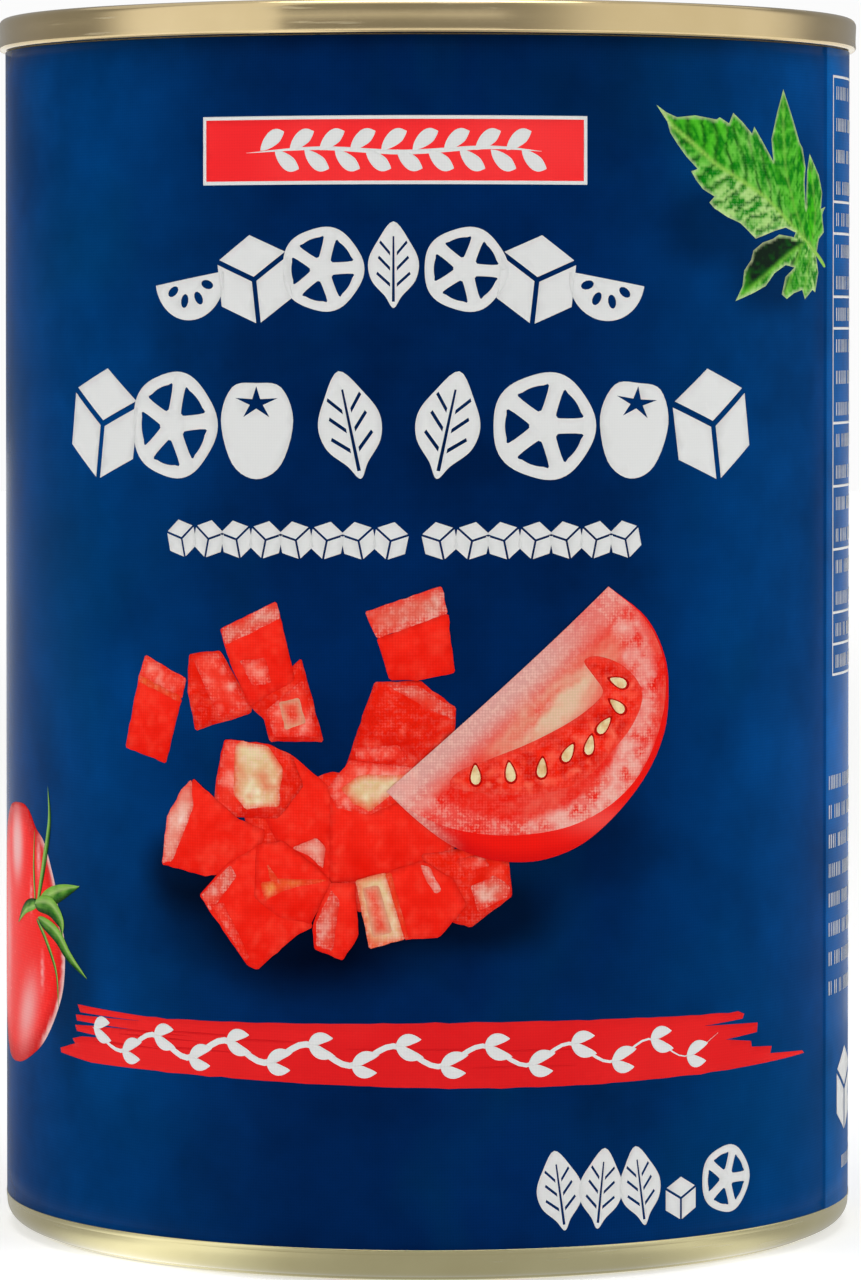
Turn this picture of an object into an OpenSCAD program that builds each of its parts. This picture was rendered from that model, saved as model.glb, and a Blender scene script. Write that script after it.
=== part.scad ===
// Tin of tomatoes: a drawn two-piece tin with a paper label and a ring-pull end.
// The tin stands on the origin with its axis along +Z, and the label's front faces -Y.

/* [Tin] */
// Overall height of the closed tin
tin_h = 106.7; // [90:0.1:125]
// Radius of the drawn wall, under the label
wall_r = 37.4; // [36:0.05:40]
// Height of the bare band of metal below the label
band_h = 2.85; // [2.5:0.05:6]
// How far the band stands out from the wall, as a ledge for the label
band_out = 0.1; // [0.05:0.01:0.3]
// Radius of the drawn corner under the band
corner_r = 1.7; // [1:0.05:2]
// Height of the small rolled ridge at the top of the band
ridge_h = 0.45; // [0.3:0.05:0.6]
// How far the ridge stands out from the band
ridge_out = 0.06; // [0.03:0.01:0.12]

/* [Foot] */
// Radius of the foot ring at the middle of its flat
foot_r = 34.85; // [32:0.05:35]
// Width of the flat that the tin stands on
foot_flat = 0.6; // [0.4:0.1:1]
// Radius of the foot ring's rounded sides
foot_round = 0.75; // [0.5:0.05:1]
// Gap between the floor and the end of the drawn corner
foot_drop = 0.35; // [0.2:0.05:0.45]
// Depth of the base panel above the floor
base_depth = 2.2; // [1.5:0.1:3]
// Radius of the raised middle of the base panel
base_step_r = 23; // [15:0.5:26]
// How much further the middle of the base is pushed up
base_step_h = 0.7; // [0.3:0.1:1.2]
// Radius of the bead between the step and the foot
base_bead_r = 28.3; // [27.5:0.1:30]

/* [Label] */
// Thickness of the paper
paper_t = 0.12; // [0.08:0.01:0.25]
// Gap between the paper's top edge and the seam
label_gap = 0.08; // [0.05:0.01:1]
// Direction of the overlap's edge, from the front towards +X, in degrees
lap_at = 67; // [0:0.5:180]
// Width of the overlap round the tin, in degrees
lap_width = 14; // [6:1:20]

/* [Seamed end] */
// Outer radius of the double seam
seam_r = 38.1; // [37.9:0.05:41]
// Height of the double seam
seam_h = 2.87; // [2.5:0.01:3.4]
// Thickness of the seam, from its outer wall to the chuck wall
seam_t = 1.35; // [1.2:0.05:1.6]
// Depth of the countersunk groove below the top of the seam
sink_depth = 4.7; // [4.3:0.1:5.2]
// Width of the countersunk groove
sink_w = 0.95; // [0.7:0.05:1.2]
// Depth of the panel below the top of the seam
panel_depth = 3.9; // [3.6:0.1:4.2]
// Radius of the score line that the end tears along
score_r = 33.7; // [32:0.1:34]
// Radius of the dished middle of the panel
dish_r = 30.6; // [29.5:0.1:31]
// Depth of the dished middle
dish_depth = 0.4; // [0.2:0.05:0.6]

/* [Ring pull] */
// Distance of the rivet from the tin's axis
rivet_at = 24.5; // [22:0.1:26]
// Radius of the rivet's shank
rivet_r = 1.6; // [1.2:0.1:2]
// Radius of the rivet's flattened head
rivet_head_r = 2.5; // [2.3:0.1:3]
// Outer radius of the finger ring
ring_r = 10.2; // [9:0.1:11]
// Width of the finger ring's band
ring_band = 2.5; // [2:0.1:3.2]
// Distance from the rivet to the middle of the finger ring
ring_reach = 14.5; // [13.5:0.1:16]
// Thickness of the curled sheet
tab_t = 1.1; // [0.8:0.05:1.4]
// Width of the nose that presses on the score
nose_w = 13; // [11:0.5:15]
// Direction of the nose, from +X towards +Y, in degrees
nose_dir = 62; // [0:1:359]

/* [Hidden] */
$fn = 96;

gold = "#B9AC7C";
blue = "#002F63";
steel = "#C9BD90";

band_r = wall_r + band_out;
wall_top = tin_h - seam_h;
foot_side = foot_r - foot_flat / 2 - foot_round;
base_fillet = 0.8;
base_bead = 0.6;
neck_z = tin_h - sink_depth - 1.1;
chuck_lean = 0.3;
seam_in = seam_r - seam_t;
sink_out = seam_in - chuck_lean;
panel_z = tin_h - panel_depth;
dish_z = panel_z - dish_depth;
sink_z = tin_h - sink_depth;
seam_top_r = 0.65;
seam_low_r = 0.45;
score_w = 0.3;
score_d = 0.12;
boss_r = 4;
boss_h = 0.5;
boss_root = 0.2;
tab_gap = 0.05;
tab_z = dish_z + boss_h + tab_gap;
head_z = tab_z + tab_t;
head_t = 0.35;
scoop_r = 14;
scoop_d = 0.8;
scoop_at = rivet_at - ring_reach - ring_r + 1;
nose_reach = score_r - rivet_at - 1;
nose_round = nose_w / 2 + 1.5;
loop_end = 5 - ring_reach;
web_w = 8.5;
slit_w = 0.7;
flap_t = 1.3 * paper_t;
cut = 1;

// A disc's half outline, its lower outer corner rounded
module low_round(r, z0, z1, c) {
  translate([0, z0 + c]) square([r, z1 - z0 - c]);
  translate([0, z0]) square([r - c, c]);
  translate([r - c, z0 + c]) circle(c);
}

// A disc's half outline, its upper outer corner rounded
module high_round(r, z0, z1, c) {
  translate([0, z0]) square([r, z1 - z0 - c]);
  translate([0, z1 - c]) square([r - c, c]);
  translate([r - c, z1 - c]) circle(c);
}

// The foot ring's cross-section: a flat between two round sides
module foot_profile() {
  for (side = [-1, 1])
    translate([foot_r + side * foot_flat / 2, foot_round]) circle(foot_round);
  translate([foot_r - foot_flat / 2, 0]) square([foot_flat, 2 * foot_round]);
  translate([foot_side, foot_round]) square([2 * foot_round + foot_flat, base_depth]);
}

// The drawn body, full up to the end as the closed tin is
module can_body() {
  color(gold) rotate_extrude() {
    difference() {
      union() {
        low_round(band_r, foot_drop, band_h - ridge_h / 2, corner_r);
        translate([0, band_h - ridge_h]) square([band_r + ridge_out, ridge_h]);
        translate([0, band_h - ridge_h]) square([wall_r, neck_z - band_h + ridge_h]);
      }
      high_round(foot_r, -cut, base_depth, base_fillet);
      high_round(base_step_r, 0, base_depth + base_step_h, base_fillet);
    }
    foot_profile();
    translate([base_bead_r, base_depth]) circle(base_bead);
  }
}

// The paper label: one wrap, and the flap that overlaps it
module label() {
  label_top = wall_top - label_gap;
  color(blue) {
    rotate_extrude() translate([wall_r, band_h]) square([paper_t, label_top - band_h]);
    rotate([0, 0, lap_at - 90]) rotate_extrude(angle = lap_width)
      translate([wall_r + paper_t / 2, band_h]) square([flap_t, label_top - band_h]);
  }
}

// The double seam's cross-section: a flat outer wall between rounded edges
module seam_profile() {
  translate([seam_in, wall_top]) square([seam_t - seam_low_r, seam_low_r]);
  translate([seam_r - seam_low_r, wall_top + seam_low_r]) circle(seam_low_r);
  translate([seam_in, wall_top + seam_low_r]) square([seam_t, seam_h - seam_low_r - seam_top_r]);
  translate([seam_in + seam_top_r, tin_h - seam_top_r]) circle(seam_top_r);
  translate([seam_r - seam_top_r, tin_h - seam_top_r]) circle(seam_top_r);
  translate([seam_in + seam_top_r, tin_h - 2 * seam_top_r])
    square([seam_t - 2 * seam_top_r, 2 * seam_top_r]);
}

// The end: seam, the neck that it is folded with, chuck wall, countersunk groove and dished panel
module end_profile() {
  difference() {
    union() {
      translate([0, neck_z]) square([wall_r, wall_top - neck_z]);
      translate([0, wall_top]) square([seam_in, seam_h - seam_top_r]);
      seam_profile();
    }
    polygon([
      [0, panel_z], [sink_out - sink_w, panel_z], [sink_out - sink_w, sink_z + sink_w / 2],
      [sink_out, sink_z + sink_w / 2], [seam_in, tin_h - seam_top_r],
      [seam_in, tin_h + cut], [0, tin_h + cut]
    ]);
    translate([sink_out - sink_w / 2, sink_z + sink_w / 2]) circle(sink_w / 2);
    translate([score_r, panel_z - score_d]) square([score_w, cut]);
    translate([0, dish_z]) square([dish_r, panel_depth]);
  }
}

// The seamed end, with the rivet formed out of its panel and a scoop for the finger
module top_end() {
  color(steel) difference() {
    union() {
      rotate_extrude() end_profile();
      rotate([0, 0, nose_dir]) translate([rivet_at, 0, dish_z - boss_root]) {
        cylinder(r = boss_r, h = boss_root + boss_h);
        cylinder(r = rivet_r, h = head_z + head_t - dish_z + boss_root);
      }
      rotate([0, 0, nose_dir]) translate([rivet_at, 0, head_z]) cylinder(r = rivet_head_r, h = head_t);
    }
    rotate([0, 0, nose_dir]) translate([scoop_at, 0, dish_z + scoop_r - scoop_d]) sphere(scoop_r);
  }
}

// The lever's outline: nose, shoulders and finger ring
module tab_outline() {
  translate([-ring_reach, 0]) circle(ring_r);
  intersection() {
    translate([nose_reach - nose_round, 0]) circle(nose_round);
    translate([-nose_w, -nose_w / 2]) square([nose_w + nose_reach, nose_w]);
  }
  translate([-ring_reach, -nose_w / 2]) square([ring_reach, nose_w]);
}

// The ring pull: a curled lever held by the rivet
module ring_pull() {
  color(steel) rotate([0, 0, nose_dir]) translate([rivet_at, 0, tab_z])
    linear_extrude(tab_t) difference() {
      tab_outline();
      circle(rivet_r);
      intersection() {
        translate([-ring_reach, 0]) circle(ring_r - ring_band);
        translate([-ring_reach - ring_r, -ring_r]) square([ring_r + ring_reach + loop_end, 2 * ring_r]);
      }
      for (side = [-1, 1])
        translate([-web_w / 2, side * web_w / 2 - slit_w / 2]) square([web_w, slit_w]);
      translate([-web_w / 2 - slit_w, -web_w / 2 - slit_w / 2]) square([slit_w, web_w + slit_w]);
    }
}

can_body();
label();
top_end();
ring_pull();
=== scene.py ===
"""Tin of tomatoes: drawn tinplate body, seamed ring-pull end and a printed paper label."""

import bpy
import math
import random
import numpy as np
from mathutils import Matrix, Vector, noise
from mathutils.geometry import delaunay_2d_cdt


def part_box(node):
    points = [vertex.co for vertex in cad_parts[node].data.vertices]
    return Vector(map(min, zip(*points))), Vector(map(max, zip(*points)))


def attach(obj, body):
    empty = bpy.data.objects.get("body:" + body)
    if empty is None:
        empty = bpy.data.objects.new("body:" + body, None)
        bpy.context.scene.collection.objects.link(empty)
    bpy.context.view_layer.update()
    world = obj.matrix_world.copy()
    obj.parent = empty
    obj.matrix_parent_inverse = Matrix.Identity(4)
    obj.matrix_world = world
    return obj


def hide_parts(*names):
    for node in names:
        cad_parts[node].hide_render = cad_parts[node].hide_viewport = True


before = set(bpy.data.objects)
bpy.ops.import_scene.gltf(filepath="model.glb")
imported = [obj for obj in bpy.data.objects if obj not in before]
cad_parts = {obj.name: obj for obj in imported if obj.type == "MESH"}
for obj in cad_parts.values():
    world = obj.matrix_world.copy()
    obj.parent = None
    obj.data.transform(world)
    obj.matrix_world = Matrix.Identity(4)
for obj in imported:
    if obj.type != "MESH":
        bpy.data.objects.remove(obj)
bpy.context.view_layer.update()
MM = 0.001

# ---------------------------------------------------------------------------
# The drawn body: one cup of tinplate, pressed and ironed in a die, lacquered
# pale gold inside and out. Only the band below the label and the base show.
# ---------------------------------------------------------------------------
tin_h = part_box("top_end")[1].z / MM
seam_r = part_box("top_end")[1].x / MM
neck_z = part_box("can_body")[1].z / MM
band_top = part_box("label")[0].z / MM
ridge_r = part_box("can_body")[1].x / MM
ridge_h = 0.45
ridge_round = 0.06
band_r = ridge_r - ridge_round
wall_r = band_r - 0.1
corner_r = 1.7
foot_r = 34.85
foot_half = 0.3
foot_round = 0.75
foot_drop = 0.35
base_z = 2.2
base_middle_z = 2.9
step_r = 23.0
step_round = 0.35
bead_at = 28.3
bead_r = 0.6


def arc(centre_r, centre_z, radius, start, stop, steps):
    """Points of a rounded corner, angles in degrees from outward towards up."""
    turns = [math.radians(start + (stop - start) * k / steps) for k in range(steps + 1)]
    return [(centre_r + radius * math.cos(t), centre_z + radius * math.sin(t)) for t in turns]


def with_supports(outline, reach=0.12):
    """The outline with extra points near the ends of its long straights, so they shade flat."""
    made = [outline[0]]
    for (r0, z0), (r1, z1) in zip(outline, outline[1:]):
        long = math.hypot(r1 - r0, z1 - z0)
        if long > 4 * reach:
            parts = [reach / long] + [k / 8 for k in range(1, 8) if long > 4] + [1 - reach / long]
            made += [(r0 + (r1 - r0) * t, z0 + (z1 - z0) * t) for t in parts]
        made.append((r1, z1))
    return made


def build(name, points, faces):
    """A smooth mesh object from points and faces, riding on the tin."""
    mesh = bpy.data.meshes.new(name)
    mesh.from_pydata([tuple(p) for p in points], [], faces)
    for face in mesh.polygons:
        face.use_smooth = True
    piece = bpy.data.objects.new(name, mesh)
    bpy.context.scene.collection.objects.link(piece)
    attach(piece, "root")
    return piece


def turned(name, outline, centre=(0.0, 0.0), steps=288, relief=None):
    """A closed body turned from a half outline in mm that starts and ends on the axis.

    relief gives a height to add to a point of the outline from its place across the tin.
    """
    points, rows = [], []
    for r, z in outline:
        around = 1 if r < 1e-6 else steps
        rows.append((len(points), around))
        for k in range(around):
            turn = 2 * math.pi * k / steps
            x, y = centre[0] + r * math.cos(turn), centre[1] + r * math.sin(turn)
            lift = relief(x, y, z) if relief else 0.0
            points.append((x * MM, y * MM, (z + lift) * MM))
    faces = []
    for (a, many_a), (b, many_b) in zip(rows, rows[1:]):
        for k in range(steps):
            n = (k + 1) % steps
            if many_a == 1:
                faces.append((a, b + n, b + k))
            elif many_b == 1:
                faces.append((a + k, a + n, b))
            else:
                faces.append((a + k, a + n, b + n, b + k))
    return build(name, points, faces)


def body_outline():
    """From the middle of the base, out over the foot ring and up the drawn wall."""
    inner = foot_r - foot_half - foot_round
    outer = foot_r + foot_half
    meet = math.degrees(math.asin((foot_drop - foot_round) / foot_round))
    made = [(0.0, base_middle_z)]
    made += arc(step_r - 2 * step_round, base_middle_z - step_round, step_round, 90, 0, 5)
    made += arc(step_r + 0.05, base_z + step_round, step_round, 180, 270, 5)
    made += arc(bead_at, base_z, bead_r, 180, 360, 12)
    made += arc(inner - 0.5, base_z - 0.5, 0.5, 90, 0, 6)
    made += arc(foot_r - foot_half, foot_round, foot_round, 180, 270, 8)
    made += arc(outer, foot_round, foot_round, 270, 360 + meet, 6)
    made += arc(band_r - corner_r, foot_drop + corner_r, corner_r, 272, 360, 16)
    made += [(band_r, band_top - ridge_h)]
    made += arc(band_r, band_top - ridge_h + 0.1, ridge_round, 270, 360, 3)
    made += arc(band_r, band_top - ridge_round, ridge_round, 0, 90, 3)
    made += [(wall_r, band_top), (wall_r, neck_z), (0.0, neck_z)]
    return with_supports(made)


def linear(code):
    """An sRGB hex colour as linear light, with full alpha."""
    parts = [int(code[i : i + 2], 16) / 255 for i in (1, 3, 5)]
    light = [c / 12.92 if c <= 0.04045 else ((c + 0.055) / 1.055) ** 2.4 for c in parts]
    return (*light, 1.0)


def put(tree, kind, inputs, **settings):
    """Adds one node. Each input is a plain value, or the output that feeds it."""
    made = tree.nodes.new(kind)
    for name, value in settings.items():
        setattr(made, name, value)
    for name, value in inputs.items():
        if isinstance(value, bpy.types.NodeSocket):
            tree.links.new(value, made.inputs[name])
        else:
            made.inputs[name].default_value = value
    return made


def new_finish(name):
    """An empty material, its node tree and the output node that its shader feeds."""
    made = bpy.data.materials.new(name)
    made.use_nodes = True
    made.node_tree.nodes.clear()
    out = put(made.node_tree, "ShaderNodeOutputMaterial", {})
    return made, made.node_tree, out


def lacquered_tinplate(name, pale, deep, roughness, ring_pitch):
    """Tinplate under a baked gold lacquer: metal seen through a thin satin film.

    The eye gets soft long highlights, a warmer tone where the film is thick,
    faint turning marks round the tin and a few handling scuffs.
    """
    made, tree, out = new_finish(name)
    place = put(tree, "ShaderNodeTexCoord", {}).outputs["Object"]
    split = put(tree, "ShaderNodeSeparateXYZ", {0: place})
    radius = put(tree, "ShaderNodeVectorMath", {0: place, 1: (1, 1, 0)}, operation="MULTIPLY")
    radius = put(tree, "ShaderNodeVectorMath", {0: radius.outputs[0]}, operation="LENGTH").outputs[1]
    # Turning marks run round the axis, so the pattern changes with radius and height only.
    rings = put(tree, "ShaderNodeCombineXYZ", {0: radius, 1: split.outputs[2], 2: 0.0})
    marks = put(tree, "ShaderNodeTexNoise", {"Vector": rings.outputs[0], "Scale": 1 / (ring_pitch * MM),
                                             "Detail": 3.0, "Roughness": 0.6})
    cloud = put(tree, "ShaderNodeTexNoise", {"Vector": place, "Scale": 1 / (14 * MM), "Detail": 4.0})
    # Scuffs are short strokes round the tin, about 0.15 mm wide.
    stretch = put(tree, "ShaderNodeVectorMath", {0: place, 1: (120, 120, 2400)}, operation="MULTIPLY")
    scuff = put(tree, "ShaderNodeTexNoise", {"Vector": stretch.outputs[0], "Scale": 1.0, "Detail": 2.0})
    scuff = put(tree, "ShaderNodeMapRange", {0: scuff.outputs[0], 1: 0.66, 2: 0.78, 3: 0.0, 4: 1.0})
    tone = put(tree, "ShaderNodeMapRange", {0: cloud.outputs[0], 1: 0.3, 2: 0.7, 3: 0.0, 4: 1.0})
    colour = put(tree, "ShaderNodeMix", {0: tone.outputs[0], 6: linear(deep), 7: linear(pale)},
                 data_type="RGBA")
    worn = put(tree, "ShaderNodeMath", {0: scuff.outputs[0], 1: 0.22}, operation="MULTIPLY")
    colour = put(tree, "ShaderNodeMix", {0: worn.outputs[0], 6: colour.outputs[2], 7: linear("#E9E4D2")},
                 data_type="RGBA")
    rough = put(tree, "ShaderNodeMapRange", {0: cloud.outputs[0], 1: 0.3, 2: 0.7,
                                             3: roughness * 0.85, 4: roughness * 1.15})
    rough = put(tree, "ShaderNodeMath", {0: worn.outputs[0], 1: rough.outputs[0]}, operation="ADD")
    bump = put(tree, "ShaderNodeBump", {"Height": marks.outputs[0], "Strength": 0.12, "Distance": 0.02 * MM})
    shader = put(tree, "ShaderNodeBsdfPrincipled", {
        "Base Color": colour.outputs[2], "Metallic": 1.0, "Roughness": rough.outputs[0],
        "Coat Weight": 0.35, "Coat Roughness": 0.18, "Coat Tint": (1.0, 0.97, 0.88, 1.0),
        "Normal": bump.outputs[0]})
    tree.links.new(shader.outputs[0], out.inputs[0])
    return made


def dress(piece, finish):
    """Gives a piece one finish on every face."""
    piece.data.materials.clear()
    piece.data.materials.append(finish)


body_lacquer = lacquered_tinplate("drawn tinplate, pale gold lacquer", "#DAD3A6", "#CBC294", 0.2, 0.35)
drawn_body = turned("drawn_body", body_outline())
dress(drawn_body, body_lacquer)
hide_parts("can_body")

# ---------------------------------------------------------------------------
# The seamed end: a pressed disc of tinplate, folded twice with the body's
# edge. It has the countersunk groove, the score line and the rivet.
# ---------------------------------------------------------------------------
seam_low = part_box("label")[1].z / MM + 0.08
seam_t = 1.35
seam_top_r = 0.65
seam_lip_r = 0.4
chuck_lean = 0.3
sink_z = tin_h - 4.7
sink_w = 0.95
panel_z = tin_h - 3.9
dish_z = panel_z - 0.4
dish_r = 30.6
score_r = 33.7
score_d = 0.11
rivet_at = 24.5
rivet_turn = math.radians(62)
boss_r = 4.0
boss_h = 0.5
well_r = 14.0
well_d = 0.8


def end_outline():
    """From the hidden underside, up the seam's rounded wall, down the chuck wall and over the panel."""
    seam_in = seam_r - seam_t
    sink_out = seam_in - chuck_lean
    sink_mid = sink_z + sink_w / 2
    made = [(0.0, neck_z), (wall_r, neck_z), (wall_r, seam_low)]
    made += arc(seam_r - seam_lip_r, seam_low + seam_lip_r, seam_lip_r, 268, 352, 8)
    # The roll that closed the seam left it a touch hollow above its lower lip.
    hollow = [(0.035, 0.62), (0.045, 0.95), (0.03, 1.4), (0.012, 1.8)]
    made += [(seam_r - inset, seam_low + up) for inset, up in hollow]
    made += arc(seam_r - seam_top_r, tin_h - seam_top_r, seam_top_r, 2, 90, 12)
    made += arc(seam_in + seam_top_r, tin_h - seam_top_r, seam_top_r, 90, 180, 12)
    made += arc(sink_out - sink_w / 2, sink_mid, sink_w / 2, 0, -180, 12)
    made += arc(sink_out - sink_w - 0.15, panel_z - 0.15, 0.15, 0, 90, 3)
    made += [(score_r + 0.3, panel_z), (score_r + 0.24, panel_z - score_d)]
    made += [(score_r + 0.06, panel_z - score_d), (score_r, panel_z)]
    made += arc(dish_r + 0.25, panel_z - 0.2, 0.2, 90, 180, 4)
    made += arc(dish_r - 0.15, dish_z + 0.2, 0.2, 0, -90, 4)
    made = with_supports(made)
    made += [(dish_r - 0.5 - 0.5 * k, dish_z) for k in range(60)]
    return made + [(0.0, dish_z)]


def end_relief(x, y, z):
    """The boss under the rivet stands up, and a shallow well dips under the finger ring."""
    if z > dish_z + 0.001 or z < dish_z - 0.001:
        return 0.0
    along = x * math.cos(rivet_turn) + y * math.sin(rivet_turn)
    aside = -x * math.sin(rivet_turn) + y * math.cos(rivet_turn)
    from_rivet = math.hypot(along - rivet_at, aside)
    rise = min(1.0, max(0.0, (boss_r - from_rivet) / 0.9))
    from_well = math.hypot(along - 0.8, aside)
    well = well_r - well_d - math.sqrt(max(0.0, well_r ** 2 - from_well ** 2))
    return boss_h * rise * rise * (3 - 2 * rise) + min(0.0, well if from_well < 8 else 0.0)


end_shell = turned("seamed_end", end_outline(), relief=end_relief)
end_lacquer = lacquered_tinplate("pressed tinplate, beige gold lacquer", "#DCC79C", "#CDB88A", 0.16, 0.3)
dress(end_shell, end_lacquer)
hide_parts("top_end")

head_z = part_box("ring_pull")[1].z / MM
rivet_head = [(0.0, dish_z), (1.6, dish_z), (1.6, head_z)]
rivet_head += arc(2.3, head_z + 0.12, 0.12, 270, 360, 3)
rivet_head += arc(2.05, head_z + 0.12, 0.32, 10, 80, 5)
rivet_head += [(1.3, head_z + 0.37), (0.9, head_z + 0.22), (0.0, head_z + 0.17)]
rivet_centre = (rivet_at * math.cos(rivet_turn), rivet_at * math.sin(rivet_turn))
rivet = turned("rivet", rivet_head, rivet_centre, steps=48)
dress(rivet, end_lacquer)

# ---------------------------------------------------------------------------
# The ring pull: a lever of lacquered tinplate with its edges curled over. The
# rivet holds it, and a slit tongue lets it tip up to break the score line.
# ---------------------------------------------------------------------------
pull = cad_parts["ring_pull"]
dress(pull, end_lacquer)
weld = pull.modifiers.new("join the corners", "WELD")
weld.merge_threshold = 0.002 * MM
curl = pull.modifiers.new("curled edges", "BEVEL")
curl.width = 0.36 * MM
curl.segments = 4
curl.limit_method = "ANGLE"
curl.angle_limit = math.radians(35)
curl.harden_normals = True

# ---------------------------------------------------------------------------
# The paper label: one sheet wrapped round the tin and glued where it overlaps.
# Coated paper, printed deep blue, varnished, with its white core at the edges.
# ---------------------------------------------------------------------------
label_low, label_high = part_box("label")
label_r = label_high.x / MM
label_bottom = label_low.z / MM
label_top = label_high.z / MM
lap_start = 67.0
lap_end = lap_start + 14.0
flap_lift = 0.096


def paper_r(angle):
    """Radius of the paper's face at an angle from the front, in degrees towards +X."""
    turn = (angle - lap_start) % 360
    across = lap_end - lap_start
    fall = min(1.0, (turn - across) / 1.5) if turn > across else 0.0
    if turn > 359.2:
        fall = (360 - turn) / 0.8
    return label_r + flap_lift * (1 - fall * fall * (3 - 2 * fall))


def on_label(s, z, lift=0.0):
    """The point in space of a place on the label: s mm round from the front, z mm up."""
    angle = math.degrees(s / label_r)
    r = (paper_r(angle) + lift) * MM
    turn = math.radians(angle)
    return Vector((r * math.sin(turn), -r * math.cos(turn), z * MM))


def wrap_label():
    """The sheet as a closed tube, with the overlap's step, ramp and cut edges."""
    angles = [lap_start + a * 1.25 for a in range(288)]
    angles += [lap_start - 0.2 * a for a in range(1, 5)] + [lap_end + a * 0.25 for a in range(7)]
    angles = sorted(set(angles))
    heights = [label_bottom + (label_top - label_bottom) * k / 40 for k in range(41)]
    points = []
    for angle in angles:
        turn = math.radians(angle)
        outer = [(paper_r(angle), z) for z in heights]
        for r, z in outer + [(wall_r, label_top), (wall_r, label_bottom)]:
            points.append((r * MM * math.sin(turn), -r * MM * math.cos(turn), z * MM))
    ring = len(heights) + 2
    count = len(angles)
    faces = []
    for a in range(count):
        b = (a + 1) % count
        for k in range(ring):
            n = (k + 1) % ring
            faces.append((a * ring + k, b * ring + k, b * ring + n, a * ring + n))
    wrap = build("label_wrap", points, faces)
    for face in wrap.data.polygons:
        if face.index % ring in (len(heights) - 1, ring - 2, ring - 1):
            face.material_index = 1
            face.use_smooth = False
    return wrap


def label_angle(tree, place):
    """Degrees round from the label's front, from an object position."""
    split = put(tree, "ShaderNodeSeparateXYZ", {0: place})
    back = put(tree, "ShaderNodeMath", {0: split.outputs[1], 1: -1.0}, operation="MULTIPLY")
    turn = put(tree, "ShaderNodeMath", {0: split.outputs[0], 1: back.outputs[0]}, operation="ARCTAN2")
    return put(tree, "ShaderNodeMath", {0: turn.outputs[0]}, operation="DEGREES").outputs[0]


def screen_dots(tree, place, angle):
    """The print's diagonal screen, from -1 in its gaps to 1 on its dots.

    A real screen has about four dots to the millimetre; it is drawn a third coarser to show.
    """
    height = put(tree, "ShaderNodeSeparateXYZ", {0: place}).outputs[2]
    run = put(tree, "ShaderNodeMath", {0: angle, 1: math.radians(label_r)}, operation="MULTIPLY")
    rise = put(tree, "ShaderNodeMath", {0: height, 1: 1 / MM}, operation="MULTIPLY")
    waves = []
    for sign in (1.0, -1.0):
        lean = put(tree, "ShaderNodeMath", {0: rise.outputs[0], 1: sign, 2: run.outputs[0]},
                   operation="MULTIPLY_ADD")
        wave = put(tree, "ShaderNodeMath", {0: lean.outputs[0], 1: 2 * math.pi / (0.34 * math.sqrt(2))},
                   operation="MULTIPLY")
        waves.append(put(tree, "ShaderNodeMath", {0: wave.outputs[0]}, operation="SINE").outputs[0])
    return put(tree, "ShaderNodeMath", {0: waves[0], 1: waves[1]}, operation="MULTIPLY").outputs[0]


def printed_shadow(tree, angle, height, colour, spots):
    """Darkens the blue softly in ovals, each (s, z, half width, half height, strength) in mm."""
    for s, z, wide, high, strength in spots:
        across = put(tree, "ShaderNodeMath", {0: angle, 1: math.radians(label_r) / wide, 2: -s / wide},
                     operation="MULTIPLY_ADD")
        up = put(tree, "ShaderNodeMath", {0: height, 1: 1 / (MM * high), 2: -z / high},
                 operation="MULTIPLY_ADD")
        flat = put(tree, "ShaderNodeCombineXYZ", {0: across.outputs[0], 1: up.outputs[0]})
        away = put(tree, "ShaderNodeVectorMath", {0: flat.outputs[0]}, operation="LENGTH")
        keep = put(tree, "ShaderNodeMapRange", {0: away.outputs["Value"], 1: 0.45, 2: 1.25,
                                                3: 1 - strength, 4: 1.0}, interpolation_type="SMOOTHSTEP")
        dimmed = put(tree, "ShaderNodeVectorMath", {0: colour, 3: keep.outputs[0]}, operation="SCALE")
        colour = dimmed.outputs[0]
    return colour


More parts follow.
